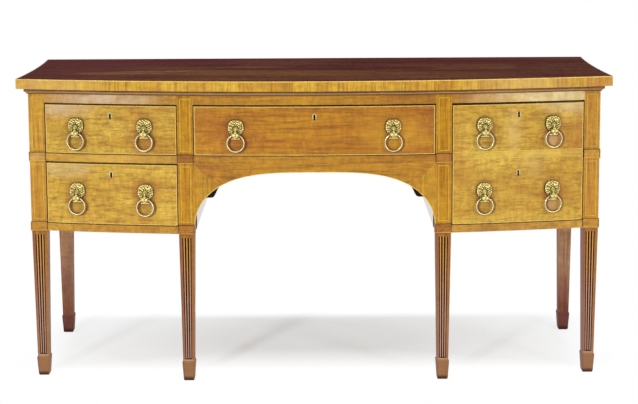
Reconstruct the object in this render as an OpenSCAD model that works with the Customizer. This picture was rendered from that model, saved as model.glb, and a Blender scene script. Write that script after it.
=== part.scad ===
// Bow front sideboard on six legs, with three drawers and one deep drawer faked as two.
// The front faces -Y, +X is to the right and the floor is at z = 0.

/* [Overall] */
// Length of the top from end to end
top_w = 1803; // [1650:1:2000]
// Depth of the top at its two ends
side_depth = 600; // [560:1:660]
// How far the front of the top bows out past its front corners
bow = 108; // [80:1:125]
// Height of the top surface above the floor
height = 927; // [890:1:960]

/* [Top] */
// Thickness of the top board
top_t = 30; // [24:1:38]
// Thickness of the crossbanded veneer on the edge of the top
band_t = 3; // [2:0.5:5]
// How far the middle of each end of the top curves in
side_hollow = 10; // [5:1:14]
// Overhang of the top in front of the bowed rails
front_overhang = 32; // [28:1:45]
// Overhang of the top past the outer legs
side_overhang = 34; // [28:1:60]
// Overhang of the top behind the back legs
rear_overhang = 36; // [10:1:60]
// Height of the moulding under the top
moulding_h = 16; // [12:1:24]
// How far the moulding stands out from the rails
moulding_proud = 11; // [8:1:13]

/* [Legs] */
// Width of each square leg where it stands against the drawers
stile_w = 48; // [42:1:56]
// How far the tapered part of a leg lies within the faces of its stile
leg_shoulder = 0.5; // [0.3:0.1:1.5]
// Width of a leg just above its spade foot
ankle_w = 35; // [30:1:40]
// Height of the spade foot
spade_h = 62; // [50:1:75]
// Height of the bevel round the sole of the foot
toe_h = 5; // [3:0.5:8]
// Height of the slope from the spade foot in to the ankle
neck_h = 4; // [2:0.5:8]
// Width of the spade foot at its widest
spade_w = 40; // [36:1:46]
// Width of the spade foot near the floor
toe_w = 33; // [28:1:36]
// Width of the sunk panel at the top of a reeded leg
reeds_top_w = 26; // [20:1:32]
// Width of the sunk panel at the bottom of a reeded leg
reeds_foot_w = 19; // [15:1:24]
// Depth of the sunk panel
reeds_sink = 2.6; // [1.5:0.1:4]
// Distance from the spade foot up to the sunk panel
reeds_low_gap = 5; // [2:1:20]
// Distance from the case down to the sunk panel
reeds_high_gap = 12; // [6:1:30]
// Number of reeds in a panel
reed_count = 3; // [3:2:5]
// Height of each collar
collar_h = 28; // [20:1:36]
// How far a collar stands out from its stile
collar_proud = 2.5; // [1.5:0.5:4]

/* [Carcase] */
// Clear width of the kneehole between the inner legs
kneehole_w = 728; // [660:1:800]
// Height of the top rails between the drawers and the moulding
top_rail_h = 28; // [22:1:40]
// Height of the openings of the upper drawers
upper_opening_h = 155; // [145:1:190]
// Height of the rails in the middle
mid_rail_h = 24; // [18:1:30]
// Height of the opening of the lower left drawer
lower_opening_h = 192; // [160:1:220]
// Height of the bottom rails
bottom_rail_h = 23; // [18:1:30]
// Depth of a rail from front to back at its shallower end
rail_d = 60; // [50:1:80]
// Thickness of the end panels
end_panel_t = 15; // [12:1:18]
// How far an end panel lies behind the outer face of its legs
panel_recess = 1.5; // [0.5:0.5:4]
// Thickness of the kneehole walls
partition_t = 16; // [12:1:20]
// Thickness of the back panel
back_panel_t = 14; // [10:1:18]
// How far the back panel lies in front of the back of the legs
back_panel_inset = 4; // [0:1:8]
// Thickness of the dust boards
dust_t = 8; // [6:1:12]
// Width of a runner under a drawer side
runner_w = 20; // [16:1:26]
// Height of the guides beside the drawers
guide_h = 30; // [20:1:40]
// Width and height of a glue block under the top
glue_w = 26; // [18:1:34]
// Length of a glue block
glue_l = 70; // [40:1:90]

/* [Kneehole arch] */
// Height of wood left above the top of the front arch
arch_rail_h = 25; // [18:1:40]
// Thickness of the bowed arch rail and its spandrels
arch_t = 22; // [16:1:28]
// Gap between the foot of the arch and the face of the inner leg
arch_inset = 2; // [1:0.5:4]
// Gap between the foot of the arch and the collar under it
arch_foot_gap = 1; // [0.5:0.5:4]
// Clear half width of the arch in the back panel at its foot
back_arch_half_w = 338; // [290:1:350]
// Rise of the arch in the back panel
back_arch_rise = 130; // [100:1:180]
// Radius of the rounded lower corners of the back panel
back_corner_r = 15; // [8:1:20]

/* [Drawers] */
// Thickness of the bowed drawer fronts
front_t = 22; // [20:1:26]
// Gap on each side of a drawer
drawer_gap_side = 1.2; // [0.8:0.1:2]
// Gap under a drawer front
drawer_gap_bottom = 1; // [0.5:0.1:2]
// Gap over a drawer front
drawer_gap_top = 3; // [1.5:0.1:4]
// Worn gap over the front of the deep drawer
deep_gap_top = 4.5; // [2:0.1:6]
// Thickness of the drawer sides and backs
drawer_side_t = 11; // [8:1:14]
// Thickness of the drawer bottoms
drawer_bottom_t = 8; // [6:1:10]
// Height of the drawer bottom above the lower edge of the sides
drawer_bottom_lift = 6; // [4:1:10]
// Depth of the grooves that hold the drawer bottom and of the housings that hold the back
groove_d = 5; // [3:1:6]
// Wood left in front of the dovetails in a drawer front
front_lap = 6; // [4:0.5:9]
// Distance from one dovetail to the next
tail_pitch = 38; // [30:1:50]
// Width of the pins between the dovetails at their narrow end
pin_w = 6; // [4:0.5:10]
// Slope of the sides of the dovetails in degrees
tail_slope = 10; // [7:0.5:12]
// How far the drawer sides stop below the top of the front
side_drop = 1.5; // [0:0.5:4]
// How far the drawer backs stop below the sides
back_drop = 8; // [4:1:14]
// Space behind the drawers
drawer_back_gap = 12; // [6:1:30]

/* [Locks] */
// Width of a lock case
lock_w = 64; // [50:1:72]
// Height of a lock case
lock_h = 48; // [40:1:56]
// Thickness of a lock case
lock_t = 11; // [9:1:11]
// Width of a lock bolt
bolt_w = 20; // [14:1:26]
// Thickness of a lock bolt
bolt_t = 5; // [4:0.5:6]
// Length of a lock bolt
bolt_l = 18; // [14:1:22]
// Travel of a lock bolt
bolt_travel = 9; // [8:0.5:10]
// Distance from the top of a drawer front down to its keyhole
keyhole_drop = 32; // [28:1:38]
// Width of the keyhole plates
plate_w = 12; // [10:1:16]
// Height of the keyhole plates
plate_h = 22; // [19:1:26]
// Radius of the round of a keyhole
key_r = 2.8; // [1.8:0.1:3.2]
// Width of the slot of a keyhole
key_slot_w = 3; // [1.6:0.1:3.6]
// Length of the slot of a keyhole below its round
key_slot_l = 9; // [6:0.5:10]

/* [Lion mask rings] */
// Distance of an outer handle from the middle of its drawer
handle_offset = 105; // [80:1:130]
// Distance of a centre handle from the middle of the sideboard
centre_handle_x = 235; // [200:1:260]
// Distance from the top of an upper drawer front down to the middle of its mask
mask_drop = 70; // [66:1:76]
// Distance from the top of the lower drawer front down to the middle of its mask
lower_mask_drop = 90; // [80:1:105]
// Radius of the mane of the mask
mane_r = 23.5; // [20:0.5:26]
// Height of the dome of the mask above the drawer front
mask_relief = 12; // [10:0.5:14]
// Radius of the muzzle that holds the ring
muzzle_r = 7.5; // [7:0.5:9]
// Width of the muzzle
muzzle_w = 22; // [18:0.5:23]
// Distance of the ring's pivot in front of the drawer front
pivot_out = 13; // [12:0.5:15]
// Distance of the ring's pivot below the middle of the mask
pivot_drop = 17; // [15:0.5:19]
// Radius of the hole in the muzzle
mouth_r = 4.2; // [4.1:0.1:4.4]
// Width of the chin under the muzzle
chin_w = 27; // [22:0.5:29]
// Number of locks round the mane
lock_count = 15; // [11:1:19]
// Radius of the ring to the middle of its bar
ring_r = 25.5; // [24:0.5:28]
// Thickness of the bar of the ring
ring_bar = 4.8; // [4:0.2:5]
// Radius of the post that holds a mask
post_r = 3; // [2:0.5:4]

/* [Hidden] */

$fn = 64;
arc_steps = 1440;
cut = 1;

// Plan: the front edge, the rails and the drawer fronts are arcs about one centre
half_w = top_w / 2;
overall_d = side_depth + bow;
top_back_y = overall_d / 2;
top_r = (half_w * half_w + bow * bow) / (2 * bow);
arc_y = top_r - overall_d / 2;
case_r = top_r - front_overhang;
end_r = (side_depth * side_depth / 4 + side_hollow * side_hollow) / (2 * side_hollow);
end_mid_y = top_back_y - side_depth / 2;

case_half = half_w - side_overhang;
outer_in = case_half - stile_w;
knee_half = kneehole_w / 2;
inner_mid = knee_half + stile_w / 2;
inner_out = knee_half + stile_w;
bay_mid = (inner_out + outer_in) / 2;

function bow_y(x, r = case_r) = arc_y - sqrt(r * r - x * x);
function bow_turn(x) = asin(x / case_r);

outer_front_y = bow_y(outer_in);
outer_leg_y = outer_front_y + stile_w / 2;
inner_leg_y = bow_y(inner_out) + stile_w / 2;
case_back_y = top_back_y - rear_overhang;
back_leg_y = case_back_y - stile_w / 2;
panel_front_y = case_back_y - back_panel_inset - back_panel_t;
drawer_back_y = panel_front_y - drawer_back_gap;

// Heights, counted down from the top surface to the underside of the case
top_z = height - top_t;
moulding_z = top_z - moulding_h;
upper_top_z = moulding_z - top_rail_h;
upper_z = upper_top_z - upper_opening_h;
mid_z = upper_z - mid_rail_h;
lower_z = mid_z - lower_opening_h;
case_z = lower_z - bottom_rail_h;

// The arch in front springs just above the lower collars
arch_z = case_z + collar_h + arch_foot_gap;
arch_half = knee_half - arch_inset;
arch_rise = mid_z - arch_rail_h - arch_z;
arch_steps = 20;

// A reeded leg: heights above the spade foot
leg_top_w = stile_w - 2 * leg_shoulder;
face_lean = atan((leg_top_w - ankle_w) / 2 / (case_z - spade_h));
reed_low = reeds_low_gap;
reed_high = case_z - reeds_high_gap - spade_h;

// Drawer supports, level with the rails
rail_back_y = outer_front_y + rail_d;
centre_rail_back_y = bow_y(knee_half) + rail_d;
wall_x = case_half - panel_recess - end_panel_t;
back_stop_y = case_back_y - stile_w;

// Each drawer front: left, right, bottom and top
left_upper = [drawer_gap_side - outer_in, -inner_out - drawer_gap_side,
    upper_z + drawer_gap_bottom, upper_top_z - drawer_gap_top];
left_lower = [drawer_gap_side - outer_in, -inner_out - drawer_gap_side,
    lower_z + drawer_gap_bottom, mid_z - drawer_gap_top];
centre = [drawer_gap_side - knee_half, knee_half - drawer_gap_side,
    upper_z + drawer_gap_bottom, upper_top_z - drawer_gap_top];
deep = [inner_out + drawer_gap_side, outer_in - drawer_gap_side,
    lower_z + drawer_gap_bottom, upper_top_z - deep_gap_top];
inside_r = case_r - front_t;
tail_l = front_t - front_lap;

// Places of the keyholes and the masks, each along and up the front
upper_key_z = upper_top_z - drawer_gap_top - keyhole_drop;
lower_key_z = mid_z - drawer_gap_top - keyhole_drop;
deep_key_z = upper_top_z - deep_gap_top - keyhole_drop;
upper_mask_z = upper_top_z - drawer_gap_top - mask_drop;
lower_mask_z = mid_z - drawer_gap_top - lower_mask_drop;
bay_handles = [bay_mid - handle_offset, bay_mid + handle_offset];
left_upper_spots = [for (x = bay_handles) [-x, upper_mask_z]];
left_lower_spots = [for (x = bay_handles) [-x, lower_mask_z]];
centre_spots = [for (side = [-1, 1]) [side * centre_handle_x, upper_mask_z]];
deep_spots = [for (z = [upper_mask_z, lower_mask_z], x = bay_handles) [x, z]];

// A bolt lies in the middle of its lock, a little below the top of the drawer front
bolt_mid_y = front_t - lock_t / 2;
bolt_room = 0.3;
bolt_sink = 0.5;

// A mask is held by a post with a nut behind the drawer front
nut_t = 4;
post_end = 2;
post_room = 0.1;

// The ring hangs with its bar near the roof of the hole in the muzzle
ring_room = 0.3;
ring_drop = ring_r - (mouth_r - ring_bar / 2 - ring_room);

// The outline of the case seen from above, grown by m
module case_plan(m = 0) {
    intersection() {
        translate([0, arc_y]) circle(r = case_r + m, $fn = arc_steps);
        translate([-case_half, -overall_d]) square([2 * case_half, overall_d]);
    }
    translate([-case_half - m, outer_front_y - m])
        square([2 * (case_half + m), case_back_y - outer_front_y + m]);
}

// The outline of the top seen from above, drawn in by m at the front and the ends
module top_plan(m = 0) {
    difference() {
        intersection() {
            translate([0, arc_y]) circle(r = top_r - m, $fn = arc_steps);
            translate([-top_w, -overall_d]) square([2 * top_w, overall_d + top_back_y]);
        }
        for (side = [-1, 1])
            translate([side * (half_w - side_hollow + end_r), end_mid_y])
                circle(r = end_r + m, $fn = arc_steps);
    }
}

// The part of a bowed strip between two places along the front
module bow_strip(x0, x1, r, t) {
    intersection() {
        difference() {
            translate([0, arc_y]) circle(r = r, $fn = arc_steps);
            translate([0, arc_y]) circle(r = r - t, $fn = arc_steps);
        }
        translate([x0, -overall_d]) square([x1 - x0, overall_d]);
    }
}

// A flat board whose front edge follows the bow
module bow_board(x0, x1, r, back_y) {
    intersection() {
        translate([0, arc_y]) circle(r = r, $fn = arc_steps);
        translate([x0, -overall_d]) square([x1 - x0, overall_d + back_y]);
    }
}

// Children stand on the bowed front at x, with their own -Y pointing straight out of it
module on_bow(x, z) {
    translate([x, bow_y(x), z]) rotate([0, 0, bow_turn(x)]) children();
}

// A block given by its two corners
module block(low, high) {
    translate(low) cube(high - low);
}

// Top

module top_board() {
    color("#4a2a20") translate([0, 0, top_z]) linear_extrude(top_t) top_plan(band_t);
}

module top_edge_band() {
    color("#c79a45") translate([0, 0, top_z]) linear_extrude(top_t) difference() {
        top_plan();
        top_plan(band_t);
    }
}

// Three steps, the upper one the widest
module under_moulding() {
    steps = [[0, 0.25, 0.35], [0.25, 0.45, 0.65], [0.45, 1, 1]];
    color("#9a6a32") for (step = steps)
        translate([0, 0, moulding_z + step[0] * moulding_h])
            linear_extrude((step[1] - step[0]) * moulding_h) difference() {
                case_plan(moulding_proud * step[2]);
                case_plan();
            }
}

// Legs

// The tapered part below the case, standing on its spade foot
module tapered_leg() {
    sole_w = toe_w - toe_h * 0.8;
    linear_extrude(toe_h, scale = toe_w / sole_w) square(sole_w, center = true);
    translate([0, 0, toe_h])
        linear_extrude(spade_h - toe_h - neck_h, scale = spade_w / toe_w) square(toe_w, center = true);
    translate([0, 0, spade_h - neck_h])
        linear_extrude(neck_h, scale = (ankle_w + 1) / spade_w) square(spade_w, center = true);
    translate([0, 0, spade_h])
        linear_extrude(case_z - spade_h, scale = leg_top_w / ankle_w) square(ankle_w, center = true);
}

// Children are drawn on the front face of the tapered part: z runs up it and +Y goes into it
module on_leg_face() {
    translate([0, -ankle_w / 2, spade_h]) rotate([face_lean, 0, 0]) children();
}

module reed_panel(depth) {
    rotate([90, 0, 0]) translate([0, 0, -depth]) linear_extrude(depth + cut) polygon([
        [-reeds_foot_w / 2, reed_low], [reeds_foot_w / 2, reed_low],
        [reeds_top_w / 2, reed_high], [-reeds_top_w / 2, reed_high]
    ]);
}

// Each reed is a slim cone whose crown is level with the face of the leg
module reeds() {
    past = 10;
    length = reed_high - reed_low + 2 * past;
    quirk = 0.2;
    reed_foot_r = reeds_foot_w / reed_count / 2 - quirk;
    reed_top_r = reeds_top_w / reed_count / 2 - quirk;
    for (i = [0 : reed_count - 1]) {
        place = (i - (reed_count - 1) / 2) / reed_count;
        spread = atan(place * (reeds_top_w - reeds_foot_w) / (reed_high - reed_low));
        sink = atan((reed_top_r - reed_foot_r) / length);
        translate([place * reeds_foot_w, reed_foot_r, reed_low - past])
            rotate([-sink, spread, 0]) cylinder(h = length, r1 = reed_foot_r, r2 = reed_top_r);
    }
}

module reeded_leg() {
    difference() {
        tapered_leg();
        on_leg_face() reed_panel(reeds_sink);
    }
    on_leg_face() intersection() {
        reeds();
        reed_panel(reeds_sink * 3);
    }
}

module outer_leg(side) {
    color("#9c5f2e") translate([side * (case_half - stile_w / 2), outer_leg_y, 0]) {
        reeded_leg();
        translate([-stile_w / 2, -stile_w / 2, case_z]) cube([stile_w, stile_w, top_z - case_z]);
    }
}

module inner_leg(side) {
    color("#a8692f") {
        translate([side * inner_mid, inner_leg_y, 0]) reeded_leg();
        translate([0, 0, case_z]) linear_extrude(top_z - case_z)
            bow_board(side * inner_mid - stile_w / 2, side * inner_mid + stile_w / 2,
                case_r, inner_leg_y + stile_w / 2);
    }
}

module back_leg(side) {
    color("#7a4226") translate([side * (case_half - stile_w / 2), back_leg_y, 0]) {
        tapered_leg();
        translate([-stile_w / 2, -stile_w / 2, case_z]) cube([stile_w, stile_w, top_z - case_z]);
    }
}

module leg_front_left() { outer_leg(-1); }
module leg_front_right() { outer_leg(1); }
module leg_inner_left() { inner_leg(-1); }
module leg_inner_right() { inner_leg(1); }
module leg_back_left() { back_leg(-1); }
module leg_back_right() { back_leg(1); }

// Collars are thin blocks on the face of each stile, turned round its free side
module leg_collars() {
    color("#a2602c") for (z = [case_z, mid_z], side = [-1, 1]) translate([0, 0, z]) {
        linear_extrude(collar_h) mirror([side < 0 ? 1 : 0, 0]) difference() {
            translate([outer_in, outer_front_y - collar_proud])
                square([stile_w + collar_proud, stile_w + collar_proud]);
            translate([outer_in - cut, outer_front_y]) square([stile_w + cut, stile_w + cut]);
        }
        linear_extrude(collar_h) mirror([side < 0 ? 1 : 0, 0]) {
            bow_strip(knee_half, inner_out, case_r + collar_proud, collar_proud);
            if (z == case_z)
                bow_board(knee_half - collar_proud, knee_half, case_r + collar_proud, inner_leg_y);
        }
    }
}

// Carcase

module end_panels() {
    color("#8d5429") for (side = [0, 1]) mirror([side, 0, 0])
        block([wall_x, outer_front_y + stile_w, case_z], [wall_x + end_panel_t, back_stop_y, top_z]);
}

// The kneehole walls run from the inner legs to the back panel
module partitions() {
    color("#b98f55") for (side = [0, 1]) mirror([side, 0, 0])
        block([knee_half, inner_leg_y + stile_w / 2, case_z],
            [knee_half + partition_t, panel_front_y, top_z]);
}

// Outline of an arch opening that stands on z = 0
// A bend of 2 is an ellipse, and a larger one squares its shoulders
module arch_shape(half, rise, bend, crown) {
    polygon([for (i = [-arch_steps : arch_steps])
        let (a = 90 * i / arch_steps, x = half * sin(a))
            [x, rise * pow(max(0, 1 - pow(abs(sin(a)), bend)), 1 / crown)]]);
}

module back_panel() {
    foot_x = back_arch_half_w + back_corner_r;
    color("#2b211c") translate([0, panel_front_y + back_panel_t, 0]) rotate([90, 0, 0])
        linear_extrude(back_panel_t) difference() {
            translate([-outer_in, case_z]) square([2 * outer_in, top_z - case_z]);
            translate([0, case_z]) arch_shape(back_arch_half_w, back_arch_rise, 2, 2);
            for (side = [-1, 1]) difference() {
                translate([side > 0 ? back_arch_half_w - cut : -foot_x, case_z - cut])
                    square([back_corner_r + cut, back_corner_r + cut]);
                translate([side * foot_x, case_z + back_corner_r]) circle(r = back_corner_r);
            }
        }
}

// The room that a lock bolt needs in the rail above it
module bolt_mortise(x, z) {
    room = 0.8;
    on_bow(x, z) block([-bolt_w / 2 - room, bolt_mid_y - bolt_t / 2 - room, -cut],
        [bolt_w / 2 + room, bolt_mid_y + bolt_t / 2 + room, bolt_travel + room]);
}

module top_rails() {
    color("#b27b36") difference() {
        translate([0, 0, upper_top_z]) linear_extrude(top_z - upper_top_z) {
            bow_board(inner_out, outer_in, case_r, rail_back_y);
            bow_board(-outer_in, -inner_out, case_r, rail_back_y);
            bow_board(-knee_half, knee_half, case_r, centre_rail_back_y);
        }
        for (x = [-bay_mid, 0, bay_mid]) bolt_mortise(x, upper_top_z);
    }
}

// One rail between the two left drawers and one under the centre drawer
module mid_rails() {
    color("#b27b36") difference() {
        translate([0, 0, mid_z]) linear_extrude(mid_rail_h) {
            bow_board(-outer_in, -inner_out, case_r, rail_back_y);
            bow_board(-knee_half, knee_half, case_r, centre_rail_back_y);
        }
        bolt_mortise(-bay_mid, mid_z);
    }
}

module bottom_rails() {
    color("#a87331") translate([0, 0, case_z]) linear_extrude(bottom_rail_h) {
        bow_board(inner_out, outer_in, case_r, rail_back_y);
        bow_board(-outer_in, -inner_out, case_r, rail_back_y);
    }
}

// The wood left round the arch, seen from the front: the apron before it is cut into three
module apron_outline() {
    difference() {
        translate([-knee_half, 0]) square([kneehole_w, mid_z - arch_z]);
        arch_shape(arch_half, arch_rise, 3.4, 1.9);
    }
}

// Everything between the two mitres, which run down and in from the collars
module between_mitres() {
    drop = mid_z - arch_z;
    polygon([[-knee_half, drop], [knee_half, drop], [knee_half - drop, 0], [drop - knee_half, 0]]);
}

// The children are an outline seen from the front, bent to the bow
module bowed_panel() {
    translate([0, 0, arch_z]) intersection() {
        linear_extrude(mid_z - arch_z) bow_strip(-knee_half, knee_half, case_r, arch_t);
        rotate([90, 0, 0]) linear_extrude(overall_d) children();
    }
}

module arch_rail() {
    color("#a9702f") bowed_panel() intersection() {
        apron_outline();
        between_mitres();
    }
}

module spandrels() {
    color("#b88038") bowed_panel() difference() {
        apron_outline();
        between_mitres();
    }
}

// Thin boards between the runners, one under each drawer
module dust_boards() {
    in_x = inner_out + runner_w;
    out_x = outer_in - runner_w;
    lift = (bottom_rail_h - dust_t) / 2;
    color("#b08a58") {
        for (spot = [[-1, case_z], [1, case_z], [-1, mid_z]])
            mirror([spot[0] < 0 ? 1 : 0, 0, 0])
                block([in_x, rail_back_y, spot[1] + lift],
                    [out_x, panel_front_y, spot[1] + lift + dust_t]);
        block([runner_w - knee_half, centre_rail_back_y, mid_z + lift],
            [knee_half - runner_w, panel_front_y, mid_z + lift + dust_t]);
    }
}

// Strips that carry the drawer sides, a little above the rails
module drawer_runners() {
    color("#a88250") {
        for (spot = [[-1, case_z, lower_z], [1, case_z, lower_z], [-1, mid_z, upper_z]])
            mirror([spot[0] < 0 ? 1 : 0, 0, 0]) {
                block([knee_half + partition_t, rail_back_y, spot[1]],
                    [inner_out + runner_w, panel_front_y, spot[2] + drawer_gap_bottom]);
                block([outer_in - runner_w, rail_back_y, spot[1]],
                    [wall_x, back_stop_y, spot[2] + drawer_gap_bottom]);
            }
        for (side = [0, 1]) mirror([side, 0, 0])
            block([knee_half - runner_w, centre_rail_back_y, mid_z],
                [knee_half, panel_front_y, upper_z + drawer_gap_bottom]);
    }
}

// Strips beside the drawers, and kickers over their sides that keep an open drawer level
module drawer_guides() {
    color("#a88250") for (spot = [[-1, lower_z], [1, lower_z], [-1, upper_z]])
        mirror([spot[0] < 0 ? 1 : 0, 0, 0]) translate([0, 0, spot[1] + drawer_gap_bottom]) {
            block([knee_half + partition_t, inner_leg_y + stile_w / 2, 0],
                [inner_out, panel_front_y, guide_h]);
            block([outer_in, outer_front_y + stile_w, 0], [wall_x, back_stop_y, guide_h]);
        }
    color("#a88250") for (side = [0, 1]) mirror([side, 0, 0]) {
        block([knee_half + partition_t, rail_back_y, upper_top_z],
            [inner_out + runner_w, panel_front_y, top_z]);
        block([outer_in - runner_w, rail_back_y, upper_top_z], [wall_x, back_stop_y, top_z]);
        block([knee_half - runner_w, centre_rail_back_y, upper_top_z],
            [knee_half, panel_front_y, top_z]);
    }
}

// Three-cornered blocks glued under the top, behind the rails and along the back panel
module glue_block(x, y, turn) {
    translate([x, y, top_z]) rotate([0, 0, turn]) translate([-glue_l / 2, 0, 0]) rotate([90, 0, 90])
        linear_extrude(glue_l) polygon([[0, 0], [glue_w, 0], [0, -glue_w]]);
}

module glue_blocks() {
    reach = (outer_in - inner_out) / 4;
    color("#b08a58") {
        for (side = [-1, 1], step = [-reach, reach])
            glue_block(side * (bay_mid + step), rail_back_y, 0);
        for (side = [-1, 1]) glue_block(side * knee_half / 2, centre_rail_back_y, 0);
        for (side = [-1, 0, 1]) glue_block(side * bay_mid, panel_front_y, 180);
    }
}

// Drawers

// A round hole over a narrow slot, cut straight back from the front
module keyhole(depth) {
    translate([0, -cut, 0]) rotate([-90, 0, 0]) cylinder(h = depth + cut, r = key_r);
    block([-key_slot_w / 2, -cut, -key_slot_l], [key_slot_w / 2, depth, 0]);
}

// An upright shield: a low peak and square shoulders over a pointed foot
module keyhole_plate() {
    w = plate_w / 2;
    rotate([90, 0, 0]) linear_extrude(1, center = true) polygon([
        [-w, plate_h * 0.27], [0, plate_h * 0.41], [w, plate_h * 0.27],
        [w * 0.9, -plate_h * 0.27], [0, -plate_h * 0.59], [-w * 0.9, -plate_h * 0.27]
    ]);
}

// Where the two side boards of a drawer stand
function side_places(d) = [d[0], d[1] - drawer_side_t];

// The pins of a drawer front seen from the side, as cutters that leave the dovetails between them
module pins(d) {
    past = 3;
    rise = d[3] - side_drop - d[2];
    count = round(rise / tail_pitch);
    tip_half = pin_w / 2 - past * tan(tail_slope);
    root_half = pin_w / 2 + (tail_l + past) * tan(tail_slope);
    for (x0 = side_places(d)) {
        tip_y = bow_y(x0 + drawer_side_t / 2, inside_r + tail_l);
        translate([x0 - 2 * cut, tip_y, d[2]]) rotate([90, 0, 90])
            linear_extrude(drawer_side_t + 4 * cut)
                for (i = [0 : count]) translate([0, rise * i / count]) polygon([
                    [-past, -tip_half], [tail_l + past, -root_half],
                    [tail_l + past, root_half], [-past, tip_half]
                ]);
    }
}

// The room in a drawer front for the dovetails of its sides
module tail_sockets(d) {
    difference() {
        translate([0, 0, d[2]]) linear_extrude(d[3] - side_drop - d[2]) difference() {
            bow_strip(d[0] - cut, d[1] + cut, inside_r + tail_l, tail_l + cut);
            translate([d[0] + drawer_side_t, -overall_d])
                square([d[1] - d[0] - 2 * drawer_side_t, 2 * overall_d]);
        }
        pins(d);
    }
}

// The bowed front, with a pocket for its lock, sunk keyhole plates and holes for the mask posts
module drawer_front(d, lock_x, keys, masks) {
    blind = 4;
    difference() {
        translate([0, 0, d[2]]) linear_extrude(d[3] - d[2]) bow_strip(d[0], d[1], case_r, front_t);
        on_bow(lock_x, d[3])
            block([-lock_w / 2, front_t - lock_t, -lock_h], [lock_w / 2, front_t + cut, cut]);
        for (key = keys) on_bow(lock_x, key) {
            keyhole(key == keys[0] ? front_t : blind);
            keyhole_plate();
        }
        tail_sockets(d);
        for (m = masks) on_bow(m[0], m[1]) rotate([-90, 0, 0])
            translate([0, 0, -cut]) cylinder(h = front_t + 2 * cut, r = post_r + post_room);
    }
}

// Two sides and a back: dovetailed into the front, grooved for the bottom and housing the back
module drawer_box(d) {
    side_top = d[3] - side_drop;
    bottom_z = d[2] + drawer_bottom_lift;
    difference() {
        translate([0, 0, d[2]]) linear_extrude(side_top - d[2]) for (x0 = side_places(d))
            bow_board(x0, x0 + drawer_side_t, inside_r + tail_l, drawer_back_y);
        intersection() {
            pins(d);
            translate([0, 0, d[2] - pin_w]) linear_extrude(side_top - d[2] + 2 * pin_w)
                bow_strip(d[0] - 2 * cut, d[1] + 2 * cut, inside_r + tail_l + cut, tail_l + cut);
        }
        translate([0, 0, bottom_z]) linear_extrude(drawer_bottom_t)
            bow_board(d[0] + drawer_side_t - groove_d, d[1] - drawer_side_t + groove_d,
                inside_r, drawer_back_y + cut);
    }
    block([d[0] + drawer_side_t - groove_d, drawer_back_y - drawer_side_t, bottom_z + drawer_bottom_t],
        [d[1] - drawer_side_t + groove_d, drawer_back_y, side_top - back_drop]);
}

module drawer_bottom(d) {
    translate([0, 0, d[2] + drawer_bottom_lift]) linear_extrude(drawer_bottom_t)
        bow_board(d[0] + drawer_side_t - groove_d, d[1] - drawer_side_t + groove_d,
            inside_r, drawer_back_y);
}

// A brass case let into the back of the drawer front
module drawer_lock(lock_x, top) {
    cap_t = 3;
    color("#b8963e") on_bow(lock_x, top) difference() {
        block([-lock_w / 2, front_t - lock_t, -lock_h], [lock_w / 2, front_t, 0]);
        block([-bolt_w / 2 - bolt_room, bolt_mid_y - bolt_t / 2 - bolt_room,
            -bolt_l - bolt_sink - bolt_room],
            [bolt_w / 2 + bolt_room, bolt_mid_y + bolt_t / 2 + bolt_room, cut]);
        translate([0, 0, -keyhole_drop]) keyhole(front_t - cap_t);
    }
}

// The pale plates let in round the keyholes
module keyhole_plates(lock_x, keys) {
    color("#e6d9b4") for (key = keys) on_bow(lock_x, key) difference() {
        keyhole_plate();
        keyhole(front_t);
    }
}

module lock_bolt(lock_x, top) {
    color("#c9a94c") on_bow(lock_x, top)
        block([-bolt_w / 2, bolt_mid_y - bolt_t / 2, -bolt_l - bolt_sink],
            [bolt_w / 2, bolt_mid_y + bolt_t / 2, -bolt_sink]);
}

// Lion masks and rings

// A dome cut from a sphere, with its flat back on the drawer front
module dome(r, relief) {
    ball_r = (r * r + relief * relief) / (2 * relief);
    intersection() {
        translate([0, ball_r - relief, 0]) sphere(r = ball_r);
        translate([0, -relief / 2, 0]) cube([2 * r + 2, relief, 2 * r + 2], center = true);
    }
}

// Everything in front of the drawer front, down to its face
module in_front() {
    intersection() {
        union() children();
        translate([0, -pivot_out, -pivot_drop / 2])
            cube([4 * mane_r, 2 * pivot_out, 4 * mane_r], center = true);
    }
}

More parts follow.
